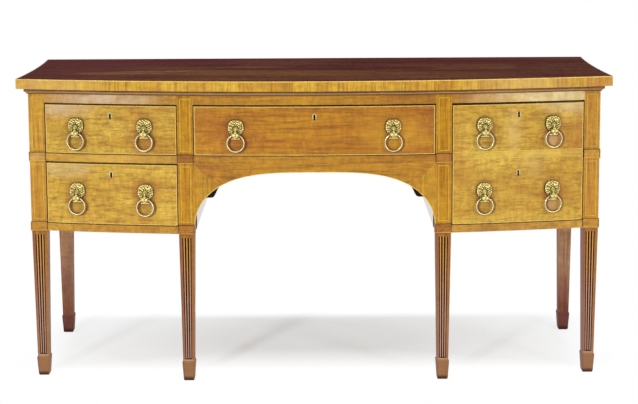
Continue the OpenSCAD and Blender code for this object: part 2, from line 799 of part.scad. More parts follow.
module mask() {
    crown_z = 5;
    brow_drop = 3;
    brow_r = 9.5;
    ear_r = 4.2;
    nose_rise = 5;
    nose_r = 7;
    jaw_z = -10;
    jaw_overlap = 8;
    chin_reach = 13;
    chin_r = 2.4;
    lock_r = 4.4;
    lock_sink = 2;
    jaw_low = pivot_drop + chin_reach;
    difference() {
        in_front() {
            translate([0, 0, crown_z]) dome(mane_r - 2, mask_relief * 0.8);
            // Locks of the mane, from one cheek over the crown to the other
            for (i = [0 : lock_count - 1]) {
                turn = -40 + 260 * i / (lock_count - 1);
                out = mane_r - lock_r;
                translate([out * cos(turn), -lock_sink, crown_z + out * sin(turn)])
                    sphere(r = lock_r, $fn = 24);
            }
            // Brow, ears and nose
            translate([0, -mask_relief * 0.7, crown_z - brow_drop]) sphere(r = brow_r);
            for (side = [-1, 1])
                translate([side * mane_r * 0.55, -mask_relief * 0.55, mane_r * 0.6]) sphere(r = ear_r);
            translate([0, -pivot_out, nose_rise - pivot_drop]) sphere(r = nose_r);
            // Cheeks running down to a square chin
            intersection() {
                translate([0, 0, jaw_z]) dome(mane_r, mask_relief * 0.8);
                block([-chin_w / 2, -mask_relief, -jaw_low], [chin_w / 2, 0, jaw_z + jaw_overlap]);
            }
            translate([-chin_w / 2, -mask_relief * 0.6, chin_r - jaw_low]) rotate([0, 90, 0])
                cylinder(h = chin_w, r = chin_r);
            translate([-muzzle_w / 2, -pivot_out, -pivot_drop]) rotate([0, 90, 0])
                cylinder(h = muzzle_w, r = muzzle_r);
        }
        translate([-muzzle_w / 2 - cut, -pivot_out, -pivot_drop]) rotate([0, 90, 0])
            cylinder(h = muzzle_w + 2 * cut, r = mouth_r);
    }
    // The post that passes through the drawer front
    rotate([-90, 0, 0]) translate([0, 0, -cut])
        cylinder(h = front_t + nut_t + post_end + cut, r = post_r);
}

module mask_nut() {
    seat_gap = 0.05;
    rotate([-90, 0, 0]) translate([0, 0, front_t + seat_gap]) difference() {
        cylinder(h = nut_t, r = 2.3 * post_r, $fn = 6);
        translate([0, 0, -cut]) cylinder(h = nut_t + 2 * cut, r = post_r + post_room);
    }
}

module mask_set(masks) {
    color("#c2a047") for (m = masks) on_bow(m[0], m[1]) {
        mask();
        mask_nut();
    }
}

module ring(x, z) {
    color("#c2a047") on_bow(x, z) translate([0, -pivot_out, -pivot_drop - ring_drop])
        rotate([90, 0, 0]) rotate_extrude() translate([ring_r, 0]) circle(r = ring_bar / 2);
}

// The drawers as they are built

module left_upper_front() {
    color("#b9813a") drawer_front(left_upper, -bay_mid, [upper_key_z], left_upper_spots);
}
module left_upper_sides() { color("#b99a66") drawer_box(left_upper); }
module left_upper_bottom() { color("#c2a674") drawer_bottom(left_upper); }
module left_upper_masks() { mask_set(left_upper_spots); }
module left_upper_lock() { drawer_lock(-bay_mid, left_upper[3]); }
module left_upper_plate() { keyhole_plates(-bay_mid, [upper_key_z]); }

module left_lower_front() {
    color("#b9813a") drawer_front(left_lower, -bay_mid, [lower_key_z], left_lower_spots);
}
module left_lower_sides() { color("#b99a66") drawer_box(left_lower); }
module left_lower_bottom() { color("#c2a674") drawer_bottom(left_lower); }
module left_lower_masks() { mask_set(left_lower_spots); }
module left_lower_lock() { drawer_lock(-bay_mid, left_lower[3]); }
module left_lower_plate() { keyhole_plates(-bay_mid, [lower_key_z]); }

module centre_front() {
    color("#b9813a") drawer_front(centre, 0, [upper_key_z], centre_spots);
}
module centre_sides() { color("#b99a66") drawer_box(centre); }
module centre_bottom() { color("#c2a674") drawer_bottom(centre); }
module centre_masks() { mask_set(centre_spots); }
module centre_lock() { drawer_lock(0, centre[3]); }
module centre_plate() { keyhole_plates(0, [upper_key_z]); }

module deep_front() {
    color("#b9813a") drawer_front(deep, bay_mid, [deep_key_z, lower_key_z], deep_spots);
}
module deep_sides() { color("#b99a66") drawer_box(deep); }
module deep_bottom() { color("#c2a674") drawer_bottom(deep); }
module deep_masks() { mask_set(deep_spots); }
module deep_lock() { drawer_lock(bay_mid, deep[3]); }
module deep_plates() { keyhole_plates(bay_mid, [deep_key_z, lower_key_z]); }

top_board();
top_edge_band();
under_moulding();
leg_front_left();
leg_front_right();
leg_inner_left();
leg_inner_right();
leg_back_left();
leg_back_right();
leg_collars();
end_panels();
partitions();
back_panel();
top_rails();
mid_rails();
bottom_rails();
arch_rail();
spandrels();
dust_boards();
drawer_runners();
drawer_guides();
glue_blocks();
left_upper_front();
left_upper_sides();
left_upper_bottom();
left_upper_masks();
left_upper_lock();
left_upper_plate();
left_lower_front();
left_lower_sides();
left_lower_bottom();
left_lower_masks();
left_lower_lock();
left_lower_plate();
centre_front();
centre_sides();
centre_bottom();
centre_masks();
centre_lock();
centre_plate();
deep_front();
deep_sides();
deep_bottom();
deep_masks();
deep_lock();
deep_plates();
lock_bolt(-bay_mid, left_upper[3]);  // bolt_left_upper
lock_bolt(-bay_mid, left_lower[3]);  // bolt_left_lower
lock_bolt(0, centre[3]);  // bolt_centre
lock_bolt(bay_mid, deep[3]);  // bolt_deep
ring(-bay_handles[1], upper_mask_z);  // ring_left_upper_outer
ring(-bay_handles[0], upper_mask_z);  // ring_left_upper_inner
ring(-bay_handles[1], lower_mask_z);  // ring_left_lower_outer
ring(-bay_handles[0], lower_mask_z);  // ring_left_lower_inner
ring(-centre_handle_x, upper_mask_z);  // ring_centre_left
ring(centre_handle_x, upper_mask_z);  // ring_centre_right
ring(bay_handles[0], upper_mask_z);  // ring_deep_upper_inner
ring(bay_handles[1], upper_mask_z);  // ring_deep_upper_outer
ring(bay_handles[0], lower_mask_z);  // ring_deep_lower_inner
ring(bay_handles[1], lower_mask_z);  // ring_deep_lower_outer
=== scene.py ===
import math

import bmesh
import bpy
from mathutils import Matrix, Vector


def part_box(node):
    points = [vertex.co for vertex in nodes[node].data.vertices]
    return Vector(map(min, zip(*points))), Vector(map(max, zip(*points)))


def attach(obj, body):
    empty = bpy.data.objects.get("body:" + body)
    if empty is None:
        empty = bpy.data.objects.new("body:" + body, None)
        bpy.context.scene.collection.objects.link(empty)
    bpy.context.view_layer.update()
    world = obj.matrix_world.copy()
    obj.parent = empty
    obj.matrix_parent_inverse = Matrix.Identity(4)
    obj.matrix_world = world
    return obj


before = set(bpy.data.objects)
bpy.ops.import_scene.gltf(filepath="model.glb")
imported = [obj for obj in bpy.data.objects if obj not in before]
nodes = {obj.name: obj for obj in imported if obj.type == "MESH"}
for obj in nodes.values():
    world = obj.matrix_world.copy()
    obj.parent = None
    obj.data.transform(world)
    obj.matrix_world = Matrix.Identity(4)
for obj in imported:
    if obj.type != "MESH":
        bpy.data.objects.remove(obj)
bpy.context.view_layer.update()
ringNames = sorted(name for name in nodes if name.startswith("ring_"))
print("frame loaded,", len(nodes), "nodes")

mm = 0.001
ringDrop = 41 * mm  # from the middle of a mask down to the middle of its ring

# The sizes that the case is set out from, in metres
case = {
    "topWidth": 1.803,
    "sideDepth": 0.600,
    "bow": 0.108,
    "height": 0.927,
    "frontOverhang": 0.032,
    "sideOverhang": 0.034,
    "stileWidth": 0.048,
    "kneehole": 0.728,
}
halfWidth = case["topWidth"] / 2
topBackY = (case["sideDepth"] + case["bow"]) / 2
topRadius = (halfWidth ** 2 + case["bow"] ** 2) / (2 * case["bow"])
bowCentreY = topRadius - topBackY
caseRadius = topRadius - case["frontOverhang"]
outerStile = halfWidth - case["sideOverhang"] - case["stileWidth"]  # inner edge of an outer stile
kneeHalf = case["kneehole"] / 2
innerStile = kneeHalf + case["stileWidth"]  # outer edge of an inner stile
outerFaceY = bowCentreY - math.sqrt(caseRadius ** 2 - outerStile ** 2)


def onBow(x, z, out=0.0):
    angle = math.asin(x / caseRadius)
    reach = caseRadius + out
    return Vector((reach * math.sin(angle), bowCentreY - reach * math.cos(angle), z))


def onOuterStile(x, z, out=0.0):
    return Vector((x, outerFaceY - out, z))


def meshFrom(bm, name):
    mesh = bpy.data.meshes.new(name)
    bm.to_mesh(mesh)
    bm.free()
    return mesh


def addObject(name, data):
    made = bpy.data.objects.new(name, data)
    bpy.context.scene.collection.objects.link(made)
    return made


def addPiece(name, bm, material, body):
    bmesh.ops.recalc_face_normals(bm, faces=bm.faces)
    mesh = meshFrom(bm, name)
    mesh.materials.append(material)
    piece = addObject(name, mesh)
    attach(piece, body)


# Shader nodes and groups

def setInputs(tree, node, inputs):
    for key, value in inputs.items():
        if isinstance(value, bpy.types.NodeSocket):
            tree.links.new(value, node.inputs[key])
        else:
            node.inputs[key].default_value = value


def addNode(tree, kind, inputs=None, **settings):
    made = tree.nodes.new(kind)
    for key, value in settings.items():
        setattr(made, key, value)
    setInputs(tree, made, inputs or {})
    return made


def maths(tree, operation, a, b=0.0, clamp=False):
    return addNode(tree, "ShaderNodeMath", {0: a, 1: b}, operation=operation, use_clamp=clamp).outputs[0]


def times(tree, a, b, clamp=False):
    return maths(tree, "MULTIPLY", a, b, clamp)


def vectorMaths(tree, operation, a, b=(0, 0, 0)):
    made = addNode(tree, "ShaderNodeVectorMath", {0: a, 1: b}, operation=operation)
    return made.outputs["Value" if operation in ("LENGTH", "DOT_PRODUCT") else "Vector"]


def scaledBy(tree, vector, factor):
    return addNode(tree, "ShaderNodeVectorMath", {0: vector, "Scale": factor}, operation="SCALE").outputs[0]


def axes(tree, vector):
    return addNode(tree, "ShaderNodeSeparateXYZ", {"Vector": vector}).outputs


def objectPlace(tree, output="Object"):
    return addNode(tree, "ShaderNodeTexCoord").outputs[output]


def spread(tree, value, low, high, toLow=0.0, toHigh=1.0):
    inputs = {"Value": value, "From Min": low, "From Max": high, "To Min": toLow, "To Max": toHigh}
    return addNode(tree, "ShaderNodeMapRange", inputs).outputs["Result"]


def mixColour(tree, factor, a, b, blend="MIX"):
    made = addNode(tree, "ShaderNodeMix", {0: factor, 6: a, 7: b}, data_type="RGBA", blend_type=blend)
    return made.outputs[2]


def tone(code):
    parts = [int(code[i:i + 2], 16) / 255 for i in (1, 3, 5)]
    return [((c + 0.055) / 1.055) ** 2.4 if c > 0.04045 else c / 12.92 for c in parts] + [1.0]


def tint(tree, colour, mask, amount, code, blend="MIX"):
    return mixColour(tree, times(tree, mask, amount), colour, tone(code), blend)


def noise(tree, vector, scale=1.0, detail=4.0, rough=0.55, warp=0.0):
    inputs = {"Vector": vector, "Scale": scale, "Detail": detail, "Roughness": rough, "Distortion": warp}
    return addNode(tree, "ShaderNodeTexNoise", inputs).outputs["Fac"]


def broken(tree, vector, scale, detail, warp, least):
    # A mask that is never less than least, to break up an even shape
    return spread(tree, noise(tree, vector, scale, detail, warp=warp), 0.3, 0.6, least, 1.0)


def newGroup(name, inputs, outputs):
    group = bpy.data.node_groups.new(name, "ShaderNodeTree")
    for label, kind, value in inputs:
        socket = group.interface.new_socket(name=label, in_out="INPUT", socket_type="NodeSocket" + kind)
        socket.default_value = value
    for label, kind in outputs:
        group.interface.new_socket(name=label, in_out="OUTPUT", socket_type="NodeSocket" + kind)
    return group, group.nodes.new("NodeGroupInput").outputs, group.nodes.new("NodeGroupOutput")


def useGroup(tree, group, inputs):
    return addNode(tree, "ShaderNodeGroup", inputs, node_tree=group).outputs


white = (1.0, 1.0, 1.0, 1.0)

# How often each layer of the wood changes along and across its grain, and which of its values show
grainLayers = {
    "figure": dict(along=1.8, across=10.0, detail=3.0, rough=0.55, warp=0.5, span=(0.34, 0.66)),
    "streak": dict(along=6.5, across=120.0, detail=5.0, rough=0.62, warp=0.15, span=(0.46, 0.72)),
    "fine": dict(along=18.0, across=420.0, detail=3.0, rough=0.6, warp=0.0, span=(0.5, 0.75)),
    "pore": dict(along=55.0, across=1500.0, detail=2.0, rough=0.55, warp=0.0, span=(0.56, 0.68)),
    "stain": dict(along=7.0, across=7.0, detail=3.0, rough=0.6, warp=0.6, span=(0.54, 0.72)),
    "mottle": dict(along=75.0, across=34.0, detail=4.0, rough=0.6, warp=0.3, span=(0.34, 0.66)),
}
grainMix = {
    "apart": (0.731, 0.377, 0.553),  # moves the grain of each piece away from the last one's
    "fine": 0.75,
    "pore": 0.6,
    "mottle": (0.76, 1.16),  # darkest and lightest
    "streakHollow": 0.4,
    "stainGloss": 0.5,
}


def makeGrainGroup():
    # Wood whose grain runs along X: broad figure, streaks, pores and old stains
    group, given, result = newGroup("woodGrain", [
        ("Vector", "Vector", (0, 0, 0)), ("Shift", "Float", 0.0),
        ("Light", "Color", white), ("Dark", "Color", white), ("Streak", "Color", white), ("Stain", "Color", white),
        ("Streaks", "Float", 0.6), ("Pores", "Float", 0.4), ("Stains", "Float", 0.3), ("Mottle", "Float", 0.8),
    ], [("Color", "Color"), ("Height", "Float"), ("Gloss", "Float")])
    place = vectorMaths(group, "ADD", given["Vector"], scaledBy(group, grainMix["apart"], given["Shift"]))
    layers = {}
    masks = {}
    amounts = {"figure": 1.0, "streak": given["Streaks"], "fine": given["Streaks"],
               "pore": given["Pores"], "stain": given["Stains"]}
    for name, look in grainLayers.items():
        stretched = vectorMaths(group, "MULTIPLY", place, (look["along"], look["across"], look["across"]))
        layer = noise(group, stretched, detail=look["detail"], rough=look["rough"], warp=look["warp"])
        layers[name] = layer
        if name in amounts:
            masks[name] = times(group, spread(group, layer, *look["span"]), amounts[name], clamp=True)

    colour = mixColour(group, masks["figure"], given["Light"], given["Dark"])
    colour = mixColour(group, masks["streak"], colour, given["Streak"])
    colour = mixColour(group, times(group, masks["fine"], grainMix["fine"]), colour, given["Streak"])
    colour = mixColour(group, masks["stain"], colour, given["Stain"])
    pores = times(group, masks["pore"], grainMix["pore"])
    colour = mixColour(group, pores, colour, given["Streak"], "MULTIPLY")
    clouds = spread(group, layers["mottle"], *grainLayers["mottle"]["span"], *grainMix["mottle"])
    colour = mixColour(group, given["Mottle"], colour, scaledBy(group, colour, clouds))
    hollow = maths(group, "ADD", masks["pore"], times(group, masks["streak"], grainMix["streakHollow"]))
    height = maths(group, "SUBTRACT", 1.0, hollow)
    gloss = maths(group, "ADD", times(group, layers["stain"], grainMix["stainGloss"]), masks["streak"])
    setInputs(group, result, {"Color": colour, "Height": height, "Gloss": gloss})
    return group


edgeWear = {
    "radius": 1.5 * mm,
    "facing": (0.985, 0.86),  # how far an edge has to turn before it is rubbed
    "patchScale": 35.0,
    "patchSpan": (0.36, 0.6),
    "cornerReach": 0.02,
    "dirtCurve": 1.4,
    "dirtGain": 1.5,
}


def makeEdgeGroup():
    # Where edges are rubbed, and where corners are darker: partly dirt and partly painted shade
    group, given, result = newGroup("wearAndDirt", [
        ("Vector", "Vector", (0, 0, 0)), ("Edge Radius", "Float", edgeWear["radius"]),
        ("Corner Reach", "Float", edgeWear["cornerReach"]),
    ], [("Edge", "Float"), ("Dirt", "Float")])
    surface = addNode(group, "ShaderNodeNewGeometry").outputs["Normal"]
    rounded = addNode(group, "ShaderNodeBevel", {"Radius": given["Edge Radius"]}, samples=4).outputs[0]
    facing = vectorMaths(group, "DOT_PRODUCT", surface, rounded)
    patches = noise(group, given["Vector"], scale=edgeWear["patchScale"])
    patchy = spread(group, patches, *edgeWear["patchSpan"])
    corner = addNode(group, "ShaderNodeAmbientOcclusion", {"Distance": given["Corner Reach"]}, samples=6)
    closed = maths(group, "SUBTRACT", 1.0, corner.outputs["AO"], clamp=True)
    dirt = maths(group, "POWER", closed, edgeWear["dirtCurve"])
    setInputs(group, result, {
        "Edge": times(group, spread(group, facing, *edgeWear["facing"]), patchy, clamp=True),
        "Dirt": times(group, dirt, edgeWear["dirtGain"], clamp=True)})
    return group


def makePatchGroup():
    # A soft-edged and broken patch, such as bleached or reddened veneer, a painted sheen or painted shade
    group, given, result = newGroup("softPatch", [
        ("Vector", "Vector", (0, 0, 0)), ("Middle", "Vector", (0, 0, 0)),
        ("Size", "Vector", (0.1, 0.1, 0.1)),
    ], [("Mask", "Float")])
    offset = vectorMaths(group, "SUBTRACT", given["Vector"], given["Middle"])
    away = vectorMaths(group, "LENGTH", vectorMaths(group, "DIVIDE", offset, given["Size"]))
    uneven = broken(group, given["Vector"], scale=30.0, detail=4.0, warp=0.4, least=0.4)
    setInputs(group, result, {"Mask": times(group, spread(group, away, 1.0, 0.3), uneven)})
    return group


def makeRingShadowGroup():
    # The painted shadow that a hanging ring casts on the veneer behind it
    group, given, result = newGroup("ringMark", [
        ("Vector", "Vector", (0, 0, 0)), ("Middle", "Vector", (0, 0, 0)),
        ("Radius", "Float", 25.0 * mm), ("Half Width", "Float", 4.0 * mm),
    ], [("Mask", "Float")])
    offset = vectorMaths(group, "SUBTRACT", given["Vector"], given["Middle"])
    away = vectorMaths(group, "LENGTH", vectorMaths(group, "MULTIPLY", offset, (1, 0, 1)))
    aside = maths(group, "ABSOLUTE", maths(group, "SUBTRACT", away, given["Radius"]))
    aside = maths(group, "DIVIDE", aside, given["Half Width"])
    uneven = broken(group, given["Vector"], scale=60.0, detail=3.0, warp=0.0, least=0.55)
    setInputs(group, result, {"Mask": times(group, spread(group, aside, 1.0, 0.6), uneven)})
    return group


grainGroup = makeGrainGroup()
edgeGroup = makeEdgeGroup()
patchGroup = makePatchGroup()
ringShadowGroup = makeRingShadowGroup()
print("shader groups made")


# Woods

def wood(light, dark, streak, stain, **changes):
    # The four colours of a wood, and what differs from the rails
    look = {"light": light, "dark": dark, "streak": streak, "stain": stain, "grain": "x",
            "streaks": 0.8, "pores": 0.4, "stains": 0.35, "mottle": 0.8,
            "rough": 0.36, "specular": 0.28, "edge": 0.4, "dirt": 0.7}
    look.update(changes)
    return look


# Which way each wood's grain runs: along X, up Z or back along Y
turns = {"x": (0.0, 0.0, 0.0), "z": (0.0, math.pi / 2, 0.0), "y": (0.0, 0.0, math.pi / 2)}

woods = {
    "topMahogany": wood("#5e3d2c", "#452423", "#2a1416", "#421f24",
                        pores=0.5, stains=0.6, rough=0.42, specular=0.0, edge=0.2, dirt=0.3),
    "crossband": wood("#dcb234", "#bd851e", "#8f5516", "#ae6c28",
                      grain="z", streaks=0.9, pores=0.3, rough=0.38, edge=0.3, dirt=0.3),
    "moulding": wood("#ab7c36", "#8c5a22", "#5c3616", "#7c4a28",
                     streaks=0.7, stains=0.3, rough=0.40, edge=0.5, dirt=0.5),
    "rails": wood("#c99222", "#ad7219", "#824f14", "#9c5724"),
    "bayRails": wood("#cf9f3a", "#b98228", "#8c5a1c", "#a8672c"),
    # sideVeneer is lighter and yellower than centreVeneer: painted light on the outer parts of the bow
    "sideVeneer": wood("#e0bb4a", "#c5972e", "#925c1c", "#ad6424", streaks=0.85, stains=0.45, rough=0.34),
    "centreVeneer": wood("#cf931e", "#ae6b14", "#7c4410", "#984c1e", stains=0.5, rough=0.34),
    "spandrel": wood("#cd9a22", "#b27d18", "#885414", "#a06424", grain="z", streaks=0.7, stains=0.3),
    "collar": wood("#b67c28", "#96591e", "#6a3814", "#86421c", stains=0.6, rough=0.40, edge=0.5, dirt=0.6),
    "backLeg": wood("#cc9e74", "#aa7856", "#6c432a", "#84503a", grain="z", streaks=0.7, pores=0.5,
                    stains=0.5, rough=0.5, specular=0.08, edge=0.5, dirt=0.6),
    "endPanel": wood("#bd8840", "#9b662e", "#724622", "#88502e",
                     grain="y", streaks=0.7, pores=0.5, stains=0.4, rough=0.38, edge=0.5),
    "partition": wood("#b98a54", "#97683a", "#6e4626", "#84543a", streaks=0.6, stains=0.4, rough=0.3,
                      specular=0.0, edge=0.3, dirt=0.3, coatIndex=1.9, frontEdge=(-0.205, -0.190)),
    # painted shade: the back board is painted near black for the shade in the kneehole
    "backBoard": wood("#37291f", "#281c17", "#1a1210", "#221815",
                      streaks=0.5, stains=0.4, rough=0.6, specular=0.2, edge=0.3, dirt=0.4),
    "lining": wood("#c9a676", "#b08957", "#8a6840", "#93744e", grain="y", streaks=0.6, pores=0.6,
                   stains=0.5, rough=0.62, specular=0.25, edge=0.3, dirt=0.8),
}
# Pieces painted in the wood of the bay rails past the inner legs, as painted light on the outer parts, and where
# along X they change
litEnds = {"rails": (0.405, 0.42), "collar": (0.50, 0.60)}

woodFinish = {
    "worn": "#e9cf94",
    # the colour of the corner darkening: partly dirt and partly painted shade
    "dirt": "#2a1a10",
    "bare": "#36221a",  # painted shade at the edges of the kneehole
    "gloss": (0.2, 1.0),
    "roughSpan": (-0.06, 0.14),
    "bump": 0.25,
    "bumpDepth": 0.2 * mm,
}


def newMaterial(name):
    material = bpy.data.materials.new(name)
    material.use_nodes = True
    tree = material.node_tree
    return material, tree, tree.nodes["Principled BSDF"], objectPlace(tree)


def bumped(tree, height, strength, depth):
    inputs = {"Strength": strength, "Distance": depth, "Height": height}
    return addNode(tree, "ShaderNodeBump", inputs).outputs[0]


def beyond(tree, place, low, high):
    # How far a spot is from the middle of the case, towards either end
    return spread(tree, maths(tree, "ABSOLUTE", axes(tree, place)["X"]), low, high)


def woodGrain(tree, look, vector, piece):
    return useGroup(tree, grainGroup, {
        "Vector": vector, "Shift": piece, "Light": tone(look["light"]), "Dark": tone(look["dark"]),
        "Streak": tone(look["streak"]), "Stain": tone(look["stain"]), "Streaks": look["streaks"],
        "Pores": look["pores"], "Stains": look["stains"], "Mottle": look["mottle"]})


def woodMaterial(name, look):
    material, tree, shader, place = newMaterial(name)
    turn = {"Vector": place, "Rotation": turns[look["grain"]]}
    turned = addNode(tree, "ShaderNodeMapping", turn).outputs[0]
    piece = addNode(tree, "ShaderNodeObjectInfo").outputs["Object Index"]
    grain = woodGrain(tree, look, turned, piece)
    colour = grain["Color"]
    if name in litEnds:
        litGolden = woodGrain(tree, woods["bayRails"], turned, piece)["Color"]
        colour = mixColour(tree, beyond(tree, place, *litEnds[name]), colour, litGolden)
    if "frontEdge" in look:  # a strip along the front edge has no polish, and is painted dark as painted shade
        polishedUnshaded = spread(tree, axes(tree, place)["Y"], *look["frontEdge"])
        colour = mixColour(tree, polishedUnshaded, tone(woodFinish["bare"]), colour)
        setInputs(tree, shader, {"Coat Weight": polishedUnshaded, "Coat IOR": look["coatIndex"]})
    wear = useGroup(tree, edgeGroup, {"Vector": place})
    colour = tint(tree, colour, wear["Edge"], look["edge"], woodFinish["worn"])
    # darker in corners: partly dirt and partly painted shade
    colour = tint(tree, colour, wear["Dirt"], look["dirt"], woodFinish["dirt"])
    smooth, rough = (look["rough"] + change for change in woodFinish["roughSpan"])
    setInputs(tree, shader, {
        "Roughness": spread(tree, grain["Gloss"], *woodFinish["gloss"], smooth, rough),
        "Normal": bumped(tree, grain["Height"], woodFinish["bump"], woodFinish["bumpDepth"]),
        "Specular IOR Level": look["specular"]})
    return material, tree, shader, place, colour


def colourByHeight(tree, place, colour, bands):
    # Each band: from and to which height, how softly, and its colour, amount and blend
    height = axes(tree, place)["Z"]
    for low, high, fade, code, amount, blend in bands:
        above = spread(tree, height, low - fade, low + fade)
        inside = times(tree, above, spread(tree, height, high + fade, high - fade))
        colour = tint(tree, colour, inside, amount, code, blend)
    return colour


def paintPatches(tree, place, colour, patches):
    for middle, size, code, amount in patches:
        mask = useGroup(tree, patchGroup, {"Vector": place, "Middle": middle, "Size": size})["Mask"]
        colour = tint(tree, colour, mask, amount, code)
    return colour


# Where the veneer is bleached and where it is redder, and where a sheen is painted: middle, half sizes, colour and
# amount
weatherAndSheen = {
    "rails": [
        # painted sheen: pale patches at both ends of the top rails (this and the next line)
        ((-0.64, -0.26, 0.868), (0.20, 0.3, 0.035), "#d9c3a4", 0.75),
        ((0.70, -0.25, 0.868), (0.28, 0.3, 0.04), "#ecd9a0", 0.85),
        ((-0.62, -0.28, 0.686), (0.25, 0.3, 0.02), "#dfb64c", 0.5)],
    "bayRails": [((0.62, -0.3, 0.47), (0.3, 0.3, 0.03), "#9c6c34", 0.4)],
    # painted light: the outer left collar lighter
    "collar": [((-0.8435, -0.22, 0.68), (0.06, 0.3, 0.04), "#dcb064", 0.55)],
    "sideVeneer": [
        ((0.6358, -0.26, 0.694), (0.32, 0.3, 0.014), "#e8cb58", 0.6),
        ((0.60, -0.26, 0.77), (0.035, 0.3, 0.09), "#e6c87c", 0.4),
        ((0.66, -0.26, 0.66), (0.05, 0.3, 0.05), "#e0c070", 0.4),
        ((0.7208, -0.26, 0.739), (0.030, 0.3, 0.030), "#d6ab88", 0.7),
        ((0.7208, -0.26, 0.540), (0.030, 0.3, 0.030), "#d6ab88", 0.7),
        ((0.78, -0.25, 0.75), (0.05, 0.3, 0.08), "#b5762a", 0.4),
        # painted sheen: the outer upper corner of the left upper drawer
        ((-0.77, -0.24, 0.846), (0.13, 0.3, 0.05), "#d3b79a", 0.65),
        ((-0.76, -0.24, 0.655), (0.12, 0.3, 0.04), "#d8c090", 0.45),
        # painted sheen: the outer upper corner of the right drawer
        ((0.79, -0.24, 0.848), (0.14, 0.3, 0.045), "#e0cd9c", 0.6),
        ((-0.51, -0.28, 0.59), (0.07, 0.3, 0.06), "#a45a22", 0.5),
        ((-0.50, -0.28, 0.73), (0.06, 0.3, 0.05), "#a86226", 0.35),
        ((0.74, -0.26, 0.575), (0.07, 0.3, 0.05), "#a86028", 0.35),
        ((0.62, -0.26, 0.56), (0.30, 0.3, 0.16), "#a87424", 0.4),
        ((0.41, -0.28, 0.68), (0.09, 0.3, 0.20), "#ac6c20", 0.55)],
    "centreVeneer": [
        ((0.24, -0.31, 0.76), (0.14, 0.3, 0.08), "#d29c2a", 0.6),
        ((-0.25, -0.31, 0.75), (0.12, 0.3, 0.07), "#a2561e", 0.4),
        ((-0.33, -0.31, 0.82), (0.08, 0.3, 0.04), "#9c501e", 0.35)],
    "topMahogany": [
        ((-0.45, 0.30, 0.93), (0.6, 0.20, 0.1), "#4b222a", 0.75),
        ((0.50, 0.26, 0.93), (0.5, 0.16, 0.1), "#472226", 0.6),
        ((-0.75, 0.05, 0.93), (0.3, 0.4, 0.1), "#522c2e", 0.6),
        ((-0.20, -0.12, 0.93), (0.55, 0.12, 0.1), "#6a4728", 0.55),
        ((-0.60, -0.10, 0.93), (0.2, 0.05, 0.1), "#7a5c3c", 0.5),
        ((0.35, -0.16, 0.93), (0.4, 0.10, 0.1), "#624226", 0.45),
        # painted reflection: thin pale streaks across the top (this and the next line)
        ((-0.46, -0.04, 0.93), (0.20, 0.012, 0.1), "#a08a78", 0.45),
        ((-0.20, 0.06, 0.93), (0.16, 0.010, 0.1), "#94786a", 0.35)],
    "crossband": [
        ((0.86, -0.25, 0.91), (0.07, 0.2, 0.05), "#b8783c", 0.6),
        ((-0.80, -0.25, 0.91), (0.2, 0.2, 0.05), "#dcb86c", 0.5),
        ((0.62, -0.28, 0.91), (0.2, 0.2, 0.05), "#ddbb72", 0.45)],
}
heightBands = {
    "moulding": [  # the steps under the top: painted shade under the top and on the lowest step, and a painted highlight on the middle step
        (0.8805, 0.8850, 0.3 * mm, "#4a2a14", 0.55, "MIX"),
        (0.8850, 0.8882, 0.3 * mm, "#c9a06e", 0.6, "MIX"),
        (0.8945, 0.8980, 0.8 * mm, "#4a2a14", 0.6, "MIX")],
    "backLeg": [  # redder towards the floor
        (-1.0, 0.30, 120 * mm, "#92706a", 0.35, "MIX"),
        (-1.0, 0.17, 80 * mm, "#b4786e", 0.7, "MULTIPLY"),
        (-1.0, 0.062, 3 * mm, "#6a3c3a", 0.6, "MIX"),
        (-1.0, 0.012, 5 * mm, "#3c1e18", 0.8, "MIX")],
}

# Painted shadows round the brasses: each ring's cast shadow, and painted shade round each mask
brassShadows = {
    "ringShift": (5.5 * mm, -2.0 * mm),
    "ringRadius": 25.0 * mm,
    "ringHalfWidth": 6.0 * mm,
    "ring": "#5a2c10",
    "ringAmount": 0.6,
    "maskReach": (0.044, 0.3, 0.048),
    "mask": "#964c1a",
    "maskAmount": 0.55,
}


def paintBrassShadows(tree, place, colour):
    shiftX, shiftZ = brassShadows["ringShift"]
    for name in ringNames:
        low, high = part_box(name)
        middle = (low + high) / 2
        # painted shade round each mask
        mask = (middle.x, middle.y, middle.z + ringDrop)
        patch = (mask, brassShadows["maskReach"], brassShadows["mask"], brassShadows["maskAmount"])
        colour = paintPatches(tree, place, colour, [patch])
        # painted shadow of each ring, shifted right and down
        shadowMask = useGroup(tree, ringShadowGroup, {
            "Vector": place, "Middle": (middle.x + shiftX, middle.y, middle.z + shiftZ),
            "Radius": brassShadows["ringRadius"], "Half Width": brassShadows["ringHalfWidth"]})["Mask"]
        colour = tint(tree, colour, shadowMask, brassShadows["ringAmount"], brassShadows["ring"])
    return colour


bandEnds = {
    "upward": (0.4, 0.8),
    "along": (0.870, 0.878),
}


def darkenTopOfBand(tree, place, colour):
    # The ends of the top are dark right out to the edge; only the front shows the pale band from above
    upward = axes(tree, objectPlace(tree, "Normal"))["Z"]
    mask = times(tree, spread(tree, upward, *bandEnds["upward"]), beyond(tree, place, *bandEnds["along"]))
    return mixColour(tree, mask, colour, tone(woods["topMahogany"]["dark"]))


paints = {}
for name, look in woods.items():
    paints[name], tree, shader, place, colour = woodMaterial(name, look)
    colour = paintPatches(tree, place, colour, weatherAndSheen.get(name, []))
    if name in heightBands:
        colour = colourByHeight(tree, place, colour, heightBands[name])
    if name in ("sideVeneer", "centreVeneer"):
        colour = paintBrassShadows(tree, place, colour)
    if name == "crossband":
        colour = darkenTopOfBand(tree, place, colour)
    setInputs(tree, shader, {"Base Color": colour})
